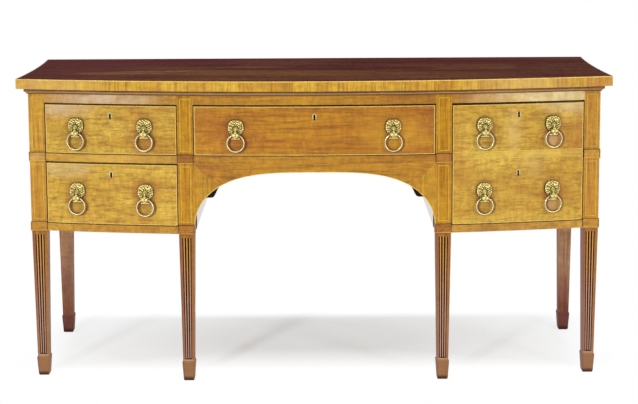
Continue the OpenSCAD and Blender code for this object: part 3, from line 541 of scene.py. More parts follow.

# A front leg: golden stile above, redder below the case, painted shade between its reeds and a painted highlight
# on their crowns, and brown on the foot
frontLeg = {
    "stile": wood("#d7a32c", "#b8801e", "#885416", "#a4662a",
                  grain="z", streaks=0.85, rough=0.42, specular=0.08, edge=0.45),
    "bleached": "#d0a670",  # painted light: the outer legs lighter
    "bleach": 0.14,
    "outerFrom": (0.60, 0.62),
    "caseHeight": 0.459,
    "lowStile": "#a46a2a",
    "lowStileTop": 0.66,
    "below": "#c0908c",
    "faded": "#a07a64",
    "low": "#946c62",
    "leftSide": ("#7c4a4c", 0.6, (-0.011, -0.018)),  # colour, amount, and where across the leg
    "rightSide": ("#94603a", 0.5, (0.010, 0.016)),
    "middles": (0.388, 0.8435),  # of the inner and the outer legs, along X
    "fronts": (-0.2875, -0.2200),  # the reeds lie in front of these, along Y
    "kneeSide": (0.3650, 0.3642),  # a strip of the side face of an inner stile in the kneehole is painted dark, as painted shade:
    "kneeDepth": (-0.286, -0.283),
    "kneeFoot": (0.486, 0.489),
    "reeds": 3,
    "panelLow": (0.0675, 0.0190),  # height of the foot of the sunk panel, and its width there
    "panelHigh": (0.4465, 0.0260),
    "panelSide": (0.17, 0.07),
    "panelEnd": 1 * mm,
    "panelFoot": (4 * mm, 2 * mm),
    # painted shade between the reeds
    "gap": "#2a1216",
    "gapAmount": 0.96,
    "gapSpan": (0.33, 0.20),
    # painted highlight along the reed crowns
    "crown": "#e8b452",
    "crownLow": "#ccaaa0",
    "crownAmount": 0.75,
    "crownSpan": (0.34, 0.44),
    "crownHeights": (0.42, 0.22),
    "foot": "#8c6844",
    "footTop": 0.0620,
    "footLine": 0.0635,
    "lineWidth": 1.4 * mm,
    "line": "#e6cd98",
    "tipTop": 0.011,
    "tip": "#3a1f14",
}


def legMiddle(tree, along, pair):
    # The first value of the pair at an inner leg, and the second at an outer one
    isOuter = maths(tree, "GREATER_THAN", along, sum(frontLeg["middles"]) / 2)
    return spread(tree, isOuter, 0.0, 1.0, *pair)


def reedMasks(tree, place):
    # Painted shade between the reeds and at the foot of their panel, and a painted highlight along their crowns,
    # from the same sizes as the CAD panel
    spot = axes(tree, place)
    along = maths(tree, "ABSOLUTE", spot["X"])
    (lowZ, lowWidth), (highZ, highWidth) = frontLeg["panelLow"], frontLeg["panelHigh"]
    reeds = frontLeg["reeds"]
    pitch = spread(tree, spot["Z"], lowZ, highZ, lowWidth / reeds, highWidth / reeds)
    across = maths(tree, "SUBTRACT", along, legMiddle(tree, along, frontLeg["middles"]))
    reed = maths(tree, "DIVIDE", across, pitch)
    away = maths(tree, "ABSOLUTE", maths(tree, "SUBTRACT", maths(tree, "FRACT", reed), 0.5))
    outside, inside = (reeds / 2 + more for more in frontLeg["panelSide"])
    end = frontLeg["panelEnd"]
    panel = spread(tree, maths(tree, "ABSOLUTE", reed), outside, inside)
    panel = times(tree, panel, spread(tree, spot["Z"], lowZ - end, lowZ + end))
    panel = times(tree, panel, spread(tree, spot["Z"], highZ + end, highZ - end))
    front = legMiddle(tree, along, frontLeg["fronts"])
    panel = times(tree, panel, maths(tree, "LESS_THAN", spot["Y"], front))
    footTop, footFade = (lowZ + rise for rise in frontLeg["panelFoot"])
    foot = times(tree, spread(tree, spot["Z"], footTop, footFade), panel)
    gap = maths(tree, "MAXIMUM", times(tree, spread(tree, away, *frontLeg["gapSpan"]), panel), foot)
    return gap, times(tree, spread(tree, away, *frontLeg["crownSpan"]), panel)


def paintLegSides(tree, place, colour):
    spot = axes(tree, place)
    along = maths(tree, "ABSOLUTE", spot["X"])
    middle = times(tree, legMiddle(tree, along, frontLeg["middles"]), maths(tree, "SIGN", spot["X"]))
    across = maths(tree, "SUBTRACT", spot["X"], middle)
    below = spread(tree, spot["Z"], frontLeg["caseHeight"], frontLeg["caseHeight"] - 1 * mm)
    for side in ("leftSide", "rightSide"):
        code, amount, span = frontLeg[side]
        colour = tint(tree, colour, times(tree, below, spread(tree, across, *span)), amount, code)
    # painted shade on the side face of an inner stile in the kneehole
    inside = spread(tree, along, *frontLeg["kneeSide"])
    for letter, key in (("Y", "kneeDepth"), ("Z", "kneeFoot")):
        inside = times(tree, inside, spread(tree, spot[letter], *frontLeg[key]))
    return mixColour(tree, inside, colour, tone(woodFinish["bare"]))


def makeLegMaterial():
    material, tree, shader, place, colour = woodMaterial("frontLeg", frontLeg["stile"])
    # painted light: the outer legs lighter
    outer = beyond(tree, place, *frontLeg["outerFrom"])
    colour = tint(tree, colour, outer, frontLeg["bleach"], frontLeg["bleached"])
    top, line = frontLeg["caseHeight"], frontLeg["footLine"]
    colour = colourByHeight(tree, place, colour, [
        (top, frontLeg["lowStileTop"], 2.0 * mm, frontLeg["lowStile"], 0.18, "MIX"),
        (-1.0, top, 0.2 * mm, frontLeg["below"], 0.6, "MULTIPLY"),
        (-1.0, top, 0.2 * mm, frontLeg["faded"], 0.1, "MIX"),
        (-1.0, 0.30, 0.10, frontLeg["faded"], 0.3, "MIX"),
        (-1.0, 0.22, 0.12, frontLeg["low"], 0.3, "MIX"),
        (-1.0, frontLeg["footTop"], 1.0 * mm, frontLeg["foot"], 0.5, "MIX"),
        (line, line + frontLeg["lineWidth"], 0.1 * mm, frontLeg["line"], 0.8, "MIX"),
        (-1.0, frontLeg["tipTop"], 4.0 * mm, frontLeg["tip"], 0.85, "MIX"),
    ])
    colour = paintLegSides(tree, place, colour)
    gap, crown = reedMasks(tree, place)
    low = spread(tree, axes(tree, place)["Z"], *frontLeg["crownHeights"])
    light = mixColour(tree, low, tone(frontLeg["crown"]), tone(frontLeg["crownLow"]))
    # painted highlight on the reed crowns, then painted shade between them
    colour = mixColour(tree, times(tree, crown, frontLeg["crownAmount"]), colour, light)
    colour = tint(tree, colour, gap, frontLeg["gapAmount"], frontLeg["gap"])
    setInputs(tree, shader, {"Base Color": colour})
    return material


paints["frontLeg"] = makeLegMaterial()


# String lines, bone and joints: a fine-grained stuff with a little wear

plains = {
    "string": dict(light="#eccb68", dark="#d0a242", scale=60.0, rough=0.4, dirt=0.5),
    "stileString": dict(light="#deb244", dark="#c09030", scale=60.0, rough=0.4, dirt=0.4),
    "bone": dict(light="#efdfa6", dark="#d4b870", scale=140.0, rough=0.45, dirt=0.7),
    "joint": dict(light="#2c180a", dark="#1a0d05", scale=90.0, rough=0.6, dirt=0.2),
}
plainFinish = {
    "dirt": "#3a2616",
    "cornerReach": 0.006,
    "specular": 0.35,
    "bump": 0.15,
    "bumpDepth": 0.1 * mm,
}

# Painted shade: the bone plates are painted black round their keyholes, for the dark inside each hole
keyholeShade = {
    "across": 0.61575,  # from the middle of the case to the keyholes of the bays
    "heights": (0.639, 0.818),
    "half": 3.3 * mm,
    "up": 5.9 * mm,
    "down": 11.6 * mm,
    "soft": 0.5 * mm,
    "black": "#120c08",
}


def paintKeyholeShade(tree, place, colour):
    spot = axes(tree, place)
    outward = maths(tree, "ABSOLUTE", spot["X"])
    fromBay = maths(tree, "ABSOLUTE", maths(tree, "SUBTRACT", outward, keyholeShade["across"]))
    across = maths(tree, "MINIMUM", outward, fromBay)
    low, high = keyholeShade["heights"]
    upper = maths(tree, "GREATER_THAN", spot["Z"], (low + high) / 2)
    height = maths(tree, "SUBTRACT", spot["Z"], spread(tree, upper, 0.0, 1.0, low, high))
    half, up, down, soft = (keyholeShade[key] for key in ("half", "up", "down", "soft"))
    hole = spread(tree, across, half + soft, half - soft)
    hole = times(tree, hole, spread(tree, height, up + soft, up - soft))
    hole = times(tree, hole, spread(tree, height, -down - soft, -down + soft))
    return mixColour(tree, hole, colour, tone(keyholeShade["black"]))


def plainMaterial(name, look):
    material, tree, shader, place = newMaterial(name)
    mottle = noise(tree, place, scale=look["scale"], detail=5.0, rough=0.65)
    colour = mixColour(tree, spread(tree, mottle, 0.35, 0.68), tone(look["light"]), tone(look["dark"]))
    wear = useGroup(tree, edgeGroup, {"Vector": place, "Corner Reach": plainFinish["cornerReach"]})
    # darker in corners: partly dirt and partly painted shade
    colour = tint(tree, colour, wear["Dirt"], look["dirt"], plainFinish["dirt"])
    if name == "bone":
        colour = paintKeyholeShade(tree, place, colour)
    setInputs(tree, shader, {
        "Base Color": colour,
        "Roughness": spread(tree, mottle, 0.3, 0.7, look["rough"] - 0.05, look["rough"] + 0.1),
        "Normal": bumped(tree, mottle, plainFinish["bump"], plainFinish["bumpDepth"]),
        "Specular IOR Level": plainFinish["specular"]})
    return material


for name, look in plains.items():
    paints[name] = plainMaterial(name, look)

brasses = {
    "lionBrass": dict(bright="#fae494", dull="#dcc066", worn="#fff8c8", dark="#2e260a", scale=90.0,
                      reach=0.0025, dirt=1.7, rough=0.36, metal=0.7, slopes=(0.84, 0.50), slopeAmount=0.92),
    "maskBrass": dict(bright="#b3a55c", dull="#857739", worn="#cfc27c", dark="#2a210c", scale=90.0,
                      reach=0.005, dirt=1.3, rough=0.42, metal=0.8),
    "ringBrass": dict(bright="#f4e2b6", dull="#d6bb84", worn="#fff4d4", dark="#3c210c", scale=60.0,
                      reach=0.006, dirt=0.6, rough=0.28, metal=0.8, slopes=(0.90, 0.62), slopeAmount=0.95),
    "lockBrass": dict(bright="#b99c58", dull="#84693a", worn="#d8c389", dark="#30240f", scale=50.0,
                      reach=0.006, dirt=0.8, rough=0.42, metal=1.0),
}
brassFinish = {
    "edgeRadius": 0.6 * mm,
    "worn": 0.7,
    "speckScale": 6,  # times finer than the clouds
    "specks": 0.5,
    "tarnishedMetal": 0.2,
    "bump": 0.3,
    "bumpDepth": 0.15 * mm,
}


def brassMaterial(name, look):
    material, tree, shader, place = newMaterial(name)
    wear = useGroup(tree, edgeGroup, {
        "Vector": place, "Edge Radius": brassFinish["edgeRadius"], "Corner Reach": look["reach"]})
    cloud = noise(tree, place, scale=look["scale"], detail=5.0, rough=0.6, warp=0.3)
    specks = noise(tree, place, scale=look["scale"] * brassFinish["speckScale"], detail=3.0, rough=0.7)
    colour = mixColour(tree, spread(tree, cloud, 0.36, 0.66), tone(look["bright"]), tone(look["dull"]))
    colour = tint(tree, colour, wear["Edge"], brassFinish["worn"], look["worn"])
    speckled = spread(tree, specks, 0.62, 0.8, 0.0, brassFinish["specks"])
    # darker in hollows: partly patina and partly painted shade
    tarnishAndShade = maths(tree, "ADD", times(tree, wear["Dirt"], look["dirt"]), speckled, clamp=True)
    if "slopes" in look:  # painted highlight on what faces the front, and painted shade on the slopes
        facing = vectorMaths(tree, "DOT_PRODUCT", objectPlace(tree, "Normal"), (0, -1, 0))
        away = times(tree, spread(tree, facing, *look["slopes"]), look["slopeAmount"])
        tarnishAndShade = maths(tree, "MAXIMUM", tarnishAndShade, away)
    smooth = spread(tree, cloud, 0.3, 0.7, look["rough"], look["rough"] + 0.15)
    setInputs(tree, shader, {
        "Base Color": mixColour(tree, tarnishAndShade, colour, tone(look["dark"])),
        "Metallic": spread(tree, tarnishAndShade, 0.0, 0.9, look["metal"], brassFinish["tarnishedMetal"]),
        "Roughness": maths(tree, "ADD", smooth, times(tree, tarnishAndShade, 0.3), clamp=True),
        "Normal": bumped(tree, specks, brassFinish["bump"], brassFinish["bumpDepth"])})
    return material


for name, look in brasses.items():
    paints[name] = brassMaterial(name, look)
print(len(paints), "materials made")

# Which finish each CAD node gets
finishes = {
    "topMahogany": ["top_board"],
    "crossband": ["top_edge_band"],
    "moulding": ["under_moulding"],
    "frontLeg": ["leg_front_left", "leg_front_right", "leg_inner_left", "leg_inner_right"],
    "backLeg": ["leg_back_left", "leg_back_right"],
    "collar": ["leg_collars"],
    "endPanel": ["end_panels"],
    "partition": ["partitions"],
    "backBoard": ["back_panel"],
    "rails": ["top_rails", "mid_rails", "arch_rail"],
    "bayRails": ["bottom_rails"],
    "spandrel": ["spandrels"],
    "sideVeneer": ["left_upper_front", "left_lower_front", "deep_front"],
    "centreVeneer": ["centre_front"],
    "lining": ["dust_boards", "drawer_runners", "drawer_guides", "glue_blocks"],
    "maskBrass": [],
    "ringBrass": ringNames,
    "lockBrass": [],
    "bone": [],
}
endings = {"_sides": "lining", "_bottom": "lining", "_masks": "maskBrass", "_lock": "lockBrass",
           "_plate": "bone", "_plates": "bone"}
for name in nodes:
    if name.startswith("bolt_"):
        finishes["lockBrass"].append(name)
    for ending, paint in endings.items():
        if name.endswith(ending):
            finishes[paint].append(name)

painted = set()
for paint, names in finishes.items():
    for name in names:
        for holder in nodes[name].material_slots:
            holder.material = paints[paint]
        painted.add(name)
for number, name in enumerate(sorted(nodes)):
    nodes[name].pass_index = number + 1  # moves the grain, so that no two pieces match
print(len(painted), "of", len(nodes), "nodes painted")


# String lines, let into the wood and a hair proud of it, with the dark joints beside them, and painted gap shade
# round the drawer fronts

stringing = {
    "proud": 0.12 * mm,
    "sunk": 0.6 * mm,
    "rim": 0.1 * mm,  # between a line and the edge of its board
    "drawerEdge": 2.0 * mm,  # painted gap shade: a dark strip outside the line
    "drawerLine": 2.2 * mm,
    "stileLine": 2.0 * mm,
    "stileInset": 8.0 * mm,
    "stileTopGap": 10.0 * mm,
    "stileEndGap": 8.0 * mm,
    "falseRail": (0.703, 0.683),
    "falseLine": 1.4 * mm,
    "collarProud": 2.5 * mm,  # how far a collar stands out from its stile
    "collarInset": 0.3 * mm,
    "collarFoot": 0.6 * mm,
    "collarLine": 1.8 * mm,
    "collarGap": 1.3 * mm,
    "collarGapFoot": 3.0 * mm,
    "archLine": 2.0 * mm,
    "archInset": 2 * mm,
    "archDrop": 25 * mm,  # from the top of the arch rail down to the crown of the arch
    "archSquareness": (3.4, 1.9),
    "archSteps": 20,
    "mitreLine": 1.2 * mm,
    "mitreLift": -0.06 * mm,
    "mitreSteps": 6,
    "topLine": 2.6 * mm,
    "topDrop": 0.15 * mm,
    "topInset": 0.5 * mm,
    "topSteps": 72,
    "step": 0.03,
}


def strip(bm, sections, closed=False):
    rings = [[bm.verts.new(corner) for corner in section] for section in sections]
    following = rings[1:] + (rings[:1] if closed else [])
    for here, there in zip(rings, following):
        for i in range(4):
            j = (i + 1) % 4
            bm.faces.new((here[i], here[j], there[j], there[i]))
    if not closed:
        bm.faces.new(rings[0])
        bm.faces.new(rings[-1])


def inlay(bm, sideA, sideB, place, closed=False, lift=0.0):
    proud = lift + stringing["proud"]
    sunk = lift - stringing["sunk"]
    strip(bm, [[place(*a, proud), place(*b, proud), place(*b, sunk), place(*a, sunk)]
               for a, b in zip(sideA, sideB)], closed)


def stepped(x0, x1, count):
    return [x0 + (x1 - x0) * i / count for i in range(count + 1)]


def boxPath(x0, x1, z0, z1, count):
    xs = stepped(x0, x1, count)
    return [(x, z0) for x in xs] + [(x, z1) for x in reversed(xs)]


def boxLine(bm, x0, x1, z0, z1, width, place):
    # A line of this width, inside the four edges given
    count = max(1, round((x1 - x0) / stringing["step"]))
    outer = boxPath(x0, x1, z0, z1, count)
    inner = boxPath(x0 + width, x1 - width, z0 + width, z1 - width, count)
    inlay(bm, outer, inner, place, closed=True)


def levelLine(bm, x0, x1, z0, z1, place, lift=0.0):
    xs = stepped(x0, x1, max(1, round(abs(x1 - x0) / stringing["step"])))
    inlay(bm, [(x, z0) for x in xs], [(x, z1) for x in xs], place, lift=lift)


def makeDrawerLines():
    rim, edge = stringing["rim"], stringing["drawerEdge"]
    for drawer in ("left_upper", "left_lower", "centre", "deep"):
        low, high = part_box(drawer + "_front")
        line = stringing["drawerLine"]
        bm = bmesh.new()
        boxLine(bm, low.x + edge, high.x - edge, low.z + edge, high.z - edge, line, onBow)
        if drawer == "deep":
            gap = edge + line
            for z in stringing["falseRail"]:
                levelLine(bm, low.x + gap, high.x - gap, z, z + stringing["falseLine"], onBow)
        addPiece("string_" + drawer, bm, paints["string"], "drawer_" + drawer)
        # painted shade: a dark strip round the edge of each drawer front, for the shade in its gap
        bm = bmesh.new()
        boxLine(bm, low.x + rim, high.x - rim, low.z + rim, high.z - rim, edge - rim, onBow)
        addPiece("arris_" + drawer, bm, paints["joint"], "drawer_" + drawer)


def makeStileLines():
    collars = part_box("leg_collars")
    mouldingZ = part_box("under_moulding")[0].z
    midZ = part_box("mid_rails")[0].z
    collarHeight = collars[1].z - midZ
    inset, end, gap, rim = (stringing[key] for key in ("stileInset", "stileEndGap", "collarGap", "rim"))
    side, foot, proud = (stringing[key] for key in ("collarInset", "collarFoot", "collarProud"))
    spans = [(collars[0].z + collarHeight + end, midZ - end),
             (collars[1].z + end, mouldingZ - stringing["stileTopGap"])]
    width = case["stileWidth"]
    stiles = (("left_outer", -outerStile - width, onOuterStile), ("left_inner", -innerStile, onBow),
              ("right_inner", kneeHalf, onBow), ("right_outer", outerStile, onOuterStile))
    for name, x0, place in stiles:
        pale = bmesh.new()
        dark = bmesh.new()
        for z0, z1 in spans:
            boxLine(pale, x0 + inset, x0 + width - inset, z0, z1, stringing["stileLine"], place)
        for z in (collars[0].z, midZ):  # a pale line along the foot of a collar, and dark joints round it
            low, top = z + foot, z + collarHeight
            line = low + stringing["collarLine"]
            levelLine(pale, x0 + side, x0 + width - side, low, line, place, lift=proud)
            levelLine(dark, x0, x0 + width, top - gap, top - rim, place, lift=proud)
            low = z + stringing["collarGapFoot"]
            for x in (x0 + rim, x0 + width - gap):
                levelLine(dark, x, x + gap - rim, low, top - gap, place, lift=proud)
        addPiece("string_stile_" + name, pale, paints["stileString"], "carcase")
        addPiece("joint_collar_" + name, dark, paints["joint"], "carcase")


def makeArchLines():
    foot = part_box("spandrels")[0].z
    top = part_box("mid_rails")[0].z
    half, steps = kneeHalf - stringing["archInset"], stringing["archSteps"]
    rise = top - stringing["archDrop"] - foot
    wide, tall = stringing["archSquareness"]
    edge = []
    for i in range(-steps, steps + 1):
        lean = math.sin(math.radians(90 * i / steps))
        edge.append(Vector((half * lean, foot + rise * max(0.0, 1 - abs(lean) ** wide) ** (1 / tall))))
    inner = []
    for i, point in enumerate(edge):
        along = (edge[min(i + 1, 2 * steps)] - edge[max(i - 1, 0)]).normalized()
        inner.append(point + Vector((-along.y, along.x)) * stringing["archLine"])
    inner = [(min(max(p.x, -kneeHalf), kneeHalf), p.y) for p in inner]
    bm = bmesh.new()
    inlay(bm, [(p.x, p.y) for p in edge], inner, onBow)
    addPiece("string_arch", bm, paints["string"], "carcase")

    # The glue line of each mitre, from half way down it to the arch
    reach = next(p for p in reversed(inner) if p[0] < kneeHalf - (top - p[1]))
    count = stringing["mitreSteps"]
    line = list(zip(stepped(kneeHalf, reach[0], count), stepped(top, reach[1], count)))[count // 2:]
    for side, name in ((-1, "left"), (1, "right")):
        bm = bmesh.new()
        sideA = [(side * x, z) for x, z in line]
        sideB = [(side * (x - stringing["mitreLine"]), z) for x, z in line]
        inlay(bm, sideA, sideB, onBow, lift=stringing["mitreLift"])
        addPiece("mitre_" + name, bm, paints["joint"], "carcase")


def makeTopLine():
    # Along the top of the bowed front edge
    high = case["height"] - stringing["topDrop"]
    low = high - stringing["topLine"]
    out, back = stringing["proud"], -stringing["sunk"]
    frontEdge = halfWidth - stringing["topInset"]
    sections = []
    for x in stepped(-frontEdge, frontEdge, stringing["topSteps"]):
        angle = math.asin(x / topRadius)
        y = bowCentreY - topRadius * math.cos(angle)
        outX, outY = math.sin(angle), -math.cos(angle)
        corners = ((out, low), (out, high), (back, high), (back, low))
        sections.append([(x + outX * way, y + outY * way, z) for way, z in corners])
    bm = bmesh.new()
    strip(bm, sections)
    addPiece("string_top", bm, paints["string"], "carcase")


makeDrawerLines()
makeStileLines()
makeArchLines()
makeTopLine()
print("string lines let in")


# Lion masks: a chased skin over each CAD mask, in millimetres from the middle of the mask

lion = {
    "rays": 168,
    "rings": 48,
    "maneMiddle": 6.0,
    "maneHalf": (24.6, 23.6),
    "maneSquareness": 2.5,
    "scallopDepth": 0.9,
    "scallops": 9.5,
    "chinHalf": 13.8,
    "chinLow": -30.3,
    "rimOut": 1.4,
    "domeRise": 6.8,
    "domeSquareness": 2.6,
    # Rows of curls: how far out, how many, how far round and how large
    "curlRows": ((0.90, 19, 0.0, 3.8), (0.665, 15, 0.5, 3.6), (0.45, 11, 0.0, 3.0)),
    "curlSway": 0.28,
    "curlReachSway": 0.05,
    "curlSizeSway": 0.16,
    "curlHeight": 3.6,
    "curlDimple": (0.6, 0.36),
    "faceHalf": (8.8, 9.2),  # no curls over this, or over the mouth
    "mouth": (12, -8.5),
    "curlsLow": -17,
    "ear": (13.6, 15.4, 6.6, 3.6),  # a ball: across, up, out and radius
    "earHollow": (1.2, 13.2, 14.8, 1.2, 1.5),
    "forehead": (0, 1.0, 7.0, 9.6),
    "snout": (0, -12, 13, 7.6),
    "softness": 1.2,
    "jaw": (13.7, -24.7, -27.4, 2.8, 7.2),  # half width, top, middle, radius and out
    "besideMuzzle": (10.8, -26, -8, 8.4),  # from across, from and to height, and no further out
    "muzzleZ": -17.0,
    "muzzleHalf": 11.1,
    "muzzleRadius": 7.3,
    "pitHalf": 13.3,
    "pitZ": (-24.0, -11.5),
    "jowl": ((4.7, -19.0, -16.2), (5.4, 3.0, 5.2)),  # middle and half sizes
    "nose": ((0, -20.4, -10.6), (3.6, 2.6, 2.6)),
    "lip": ((0, -17.0, -22.6), (6.4, 2.6, 2.2)),
}
# What is raised on the face, or sunk: height, across, up, half sizes, slant and if both sides have it
relief = {
    "brows": (1.5, 5.0, 6.2, 3.0, 1.5, 0.25, True),
    "eyeSockets": (-3.4, 4.9, 2.6, 2.2, 1.8, 0, True),
    "eyes": (1.8, 4.8, 2.6, 1.0, 0.9, 0, True),
    "furrow": (-0.8, 0, 8.0, 0.9, 2.6, 0, False),
    "bridge": (1.8, 0, -1.5, 2.6, 5.5, 0, False),
    "cheeks": (1.8, 8.6, -4.2, 2.0, 2.8, 0, True),
    "cheekHollows": (-1.0, 5.2, -4.0, 1.2, 2.6, 0, True),
}


def hump(x, z, atX, atZ, wideX, wideZ):
    return math.exp(-((x - atX) / wideX) ** 2 - ((z - atZ) / wideZ) ** 2)


def ball(x, z, atX, atZ, out, radius):
    rest = radius ** 2 - (x - atX) ** 2 - (z - atZ) ** 2
    return out + math.sqrt(rest) if rest > 0 else 0.0


def maneRim(angle):
    # How far the mane reaches from the middle of the mask: a rounded square about its own middle
    c, s = math.cos(angle), math.sin(angle)
    halfWide, halfTall = lion["maneHalf"]
    low, high = 0.0, 40.0
    for _ in range(24):
        r = (low + high) / 2
        across = abs(r * c) / halfWide
        upward = abs(r * s - lion["maneMiddle"]) / halfTall
        inside = across ** lion["maneSquareness"] + upward ** lion["maneSquareness"] < 1
        low, high = (r, high) if inside else (low, r)
    return low


def lionRim(angle):
    # The mane above and the square chin below it
    c, s = math.cos(angle), math.sin(angle)
    rim = maneRim(angle)
    if s > -0.6:
        rim += lion["scallopDepth"] * abs(math.cos(lion["scallops"] * angle))
    if s < 0:
        rim = max(rim, min(lion["chinHalf"] / max(abs(c), 1e-6), -lion["chinLow"] / -s))
    return rim


def findCurls():
    # Rows of round curls over the mane, none of them quite alike
    spots = []
    wide, tall = lion["faceHalf"]
    mouthHalf, mouthTop = lion["mouth"]
    for reach, count, shift, radius in lion["curlRows"]:
        for i in range(count):
            angle = 2 * math.pi * (i + shift + lion["curlSway"] * math.sin(7.1 * i + 31 * reach)) / count
            r = reach * maneRim(angle) * (1 + lion["curlReachSway"] * math.sin(12.7 * i + 17 * reach))
            x, z = r * math.cos(angle), r * math.sin(angle)
            size = radius * (1 + lion["curlSizeSway"] * math.sin(4.3 * i + 9 * reach))
            face = (x / wide) ** 2 + ((z - lion["forehead"][1]) / tall) ** 2 < 1
            mouth = abs(x) < mouthHalf and z < mouthTop
            if z > lion["curlsLow"] and not face and not mouth:
                spots.append((x, z, size))
    return spots


curls = findCurls()


def lionHeight(x, z, t):
    side = abs(x)
    h = lion["rimOut"] + lion["domeRise"] * math.sqrt(max(0.0, 1 - t ** lion["domeSquareness"]))
    dimple, dimpleWidth = lion["curlDimple"]
    for atX, atZ, radius in curls:
        away = math.hypot(x - atX, z - atZ) / radius
        if away < 1:
            h = h + lion["curlHeight"] * math.sqrt(1 - away ** 2)
            h -= dimple * math.exp(-(away / dimpleWidth) ** 2)
            break
    hollow, hollowX, *hollowRest = lion["earHollow"]
    earX, *earRest = lion["ear"]
    for ear in (-1, 1):
        h = max(h, ball(x, z, ear * earX, *earRest) - hollow * hump(x, z, ear * hollowX, *hollowRest))
    face = max(ball(x, z, *lion["forehead"]), ball(x, z, *lion["snout"]))
    if face > h:
        h = h + (face - h) * min(1.0, (face - h) / lion["softness"])
    jawHalf, jawTop, jawMiddle, jawRadius, jawOut = lion["jaw"]
    if z < jawTop and side < jawHalf:
        h = max(h, jawOut + math.sqrt(max(0.0, jawRadius ** 2 - (z - jawMiddle) ** 2)))
    for height, atX, atZ, wideX, wideZ, slant, both in relief.values():
        h += height * hump(side if both else x, z, atX, atZ + slant * side, wideX, wideZ)
    muzzleSide, low, high, most = lion["besideMuzzle"]
    if side > muzzleSide and low < z < high:
        h = min(h, most)
    return h


def ellipsoid(bm, centre, radii, shape=lambda u, v: 1.0, across=20, down=12):
    rings = []
    for j in range(1, down):
        v = math.pi * j / down
        ring = []
        for i in range(across):
            u = 2 * math.pi * i / across
            k = shape(u, v)
            way = (math.sin(v) * math.cos(u), math.cos(v), math.sin(v) * math.sin(u))
            ring.append(bm.verts.new([mm * (centre[a] + k * radii[a] * way[a]) for a in range(3)]))
        rings.append(ring)
    x, y, z = centre
    ends = [bm.verts.new([mm * x, mm * (y + way * radii[1]), mm * z]) for way in (1, -1)]
    joinRings(bm, rings)
    for i in range(across):
        j = (i + 1) % across
        bm.faces.new((ends[0], rings[0][i], rings[0][j]))
        bm.faces.new((ends[1], rings[-1][j], rings[-1][i]))


def joinRings(bm, rings):
    for a, b in zip(rings, rings[1:]):
        for i in range(len(a)):
            j = (i + 1) % len(a)
            bm.faces.new((a[i], a[j], b[j], b[i]))


def whiskers(u, v):
    return 1 - 0.05 * max(0.0, math.cos(7 * u) * math.cos(6 * v))


def nostrils(u, v):
    return 1 - 0.12 * max(0.0, -math.sin(u)) ** 2


def hidden(face):
    # The skin stays open where the muzzle comes through, and in the pits where the ring goes in
    c = face.calc_center_median() / mm
    muzzle = abs(c.x) < lion["muzzleHalf"] and abs(c.z - lion["muzzleZ"]) < lion["muzzleRadius"]
    low, high = lion["pitZ"]
    return muzzle or (abs(c.x) < lion["pitHalf"] and low < c.z < high)


def makeLionMesh():
    bm = bmesh.new()
    rays, count = lion["rays"], lion["rings"]
    middle = bm.verts.new((0, -mm * lionHeight(0, 0, 0), 0))
    rows = []
    for j in range(1, count + 2):
        row = []
        for i in range(rays):
            angle = 2 * math.pi * i / rays
            rim = lionRim(angle)
            r = rim * min(j, count) / count
            x, z = r * math.cos(angle), r * math.sin(angle)
            h = lionHeight(x, z, r / rim) if j <= count else -0.05
            row.append(bm.verts.new((mm * x, -mm * h, mm * z)))
        rows.append(row)
    for i in range(rays):
        bm.faces.new((middle, rows[0][(i + 1) % rays], rows[0][i]))
    joinRings(bm, rows)
    bmesh.ops.delete(bm, geom=[f for f in bm.faces if hidden(f)], context="FACES")
    (x, y, z), radii = lion["jowl"]
    for side in (-1, 1):
        ellipsoid(bm, (side * x, y, z), radii, whiskers)
    ellipsoid(bm, *lion["nose"], nostrils)
    ellipsoid(bm, *lion["lip"])
    for face in bm.faces:
        face.smooth = True
    bmesh.ops.recalc_face_normals(bm, faces=bm.faces)
    mesh = meshFrom(bm, "lion_skin")
    mesh.materials.append(paints["lionBrass"])
    return mesh


def placeLions():
    mesh = makeLionMesh()
    for name in ringNames:
        low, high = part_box(name)
        middle = (low + high) / 2
        angle = math.atan2(middle.x, bowCentreY - middle.y)
        spot = onBow(caseRadius * math.sin(angle), middle.z + ringDrop)
        piece = addObject(name.replace("ring_", "lion_"), mesh)
        piece.matrix_world = Matrix.Translation(spot) @ Matrix.Rotation(angle, 4, "Z")
        drawer = "deep" if "_deep_" in name else name.replace("ring_", "").rsplit("_", 1)[0]
        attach(piece, "drawer_" + drawer)


placeLions()
print("lion masks chased")


# Floor, light and camera

studio = {
    "floor": (-9, 9, -7, 11),
    "floorBounce": (0.8, 0.8, 0.8, 1),
    "floorShade": (0.85, 0.90, 0.93, 1.0),  # a little cool, against the wood's glow on it
    "floorGlow": 0.31,
    "clearMiddle": (0.0, 0.2, 0.0),
    "clearScale": (1.0, 1.6, 0.0),
    "clearSpan": (0.30, 1.15),  # how far from the middle the floor turns to plain white paper; near the case this is painted light that lightens its shadow towards the sides
    "frontFade": (0.06, -0.17),  # painted light: the paper turns white again under the front of the case, over its shadow
    "worldFill": 0.40,
}
lamps = {
    "key": dict(place=(-3.7, -7.6, 3.2), target=(0, -0.2, 0.6), size=(0.8, 0.8), power=225.0),
    "fill": dict(place=(4.0, -5.0, 2.2), target=(0, -0.2, 0.6), size=(1.2, 1.2), power=80.0),
    "top": dict(place=(0, -0.95, 8.0), target=(0, 0, 0), size=(3.5, 1.2), power=490.0),
}
# Solved from the photograph's measured corners, for a frame 638 wide and 404 high
shot = {
    "place": (0.0075, -5.1312, 1.4647),
    "yaw": 0.0726,
    "pitch": 7.8475,
    "roll": -0.2927,
    "focal": 1628.8,
    "frame": 638.0,
    "drop": 80.0,
    "sensor": 36.0,
    "reach": 60.0,
}


def seenDirectly(tree):
    path = addNode(tree, "ShaderNodeLightPath").outputs
    either = maths(tree, "MAXIMUM", path["Is Camera Ray"], path["Is Glossy Ray"])
    return maths(tree, "MAXIMUM", either, path["Is Transmission Ray"])


def mixShaders(tree, factor, a, b):
    return addNode(tree, "ShaderNodeMixShader", {0: factor, 1: a, 2: b}).outputs[0]


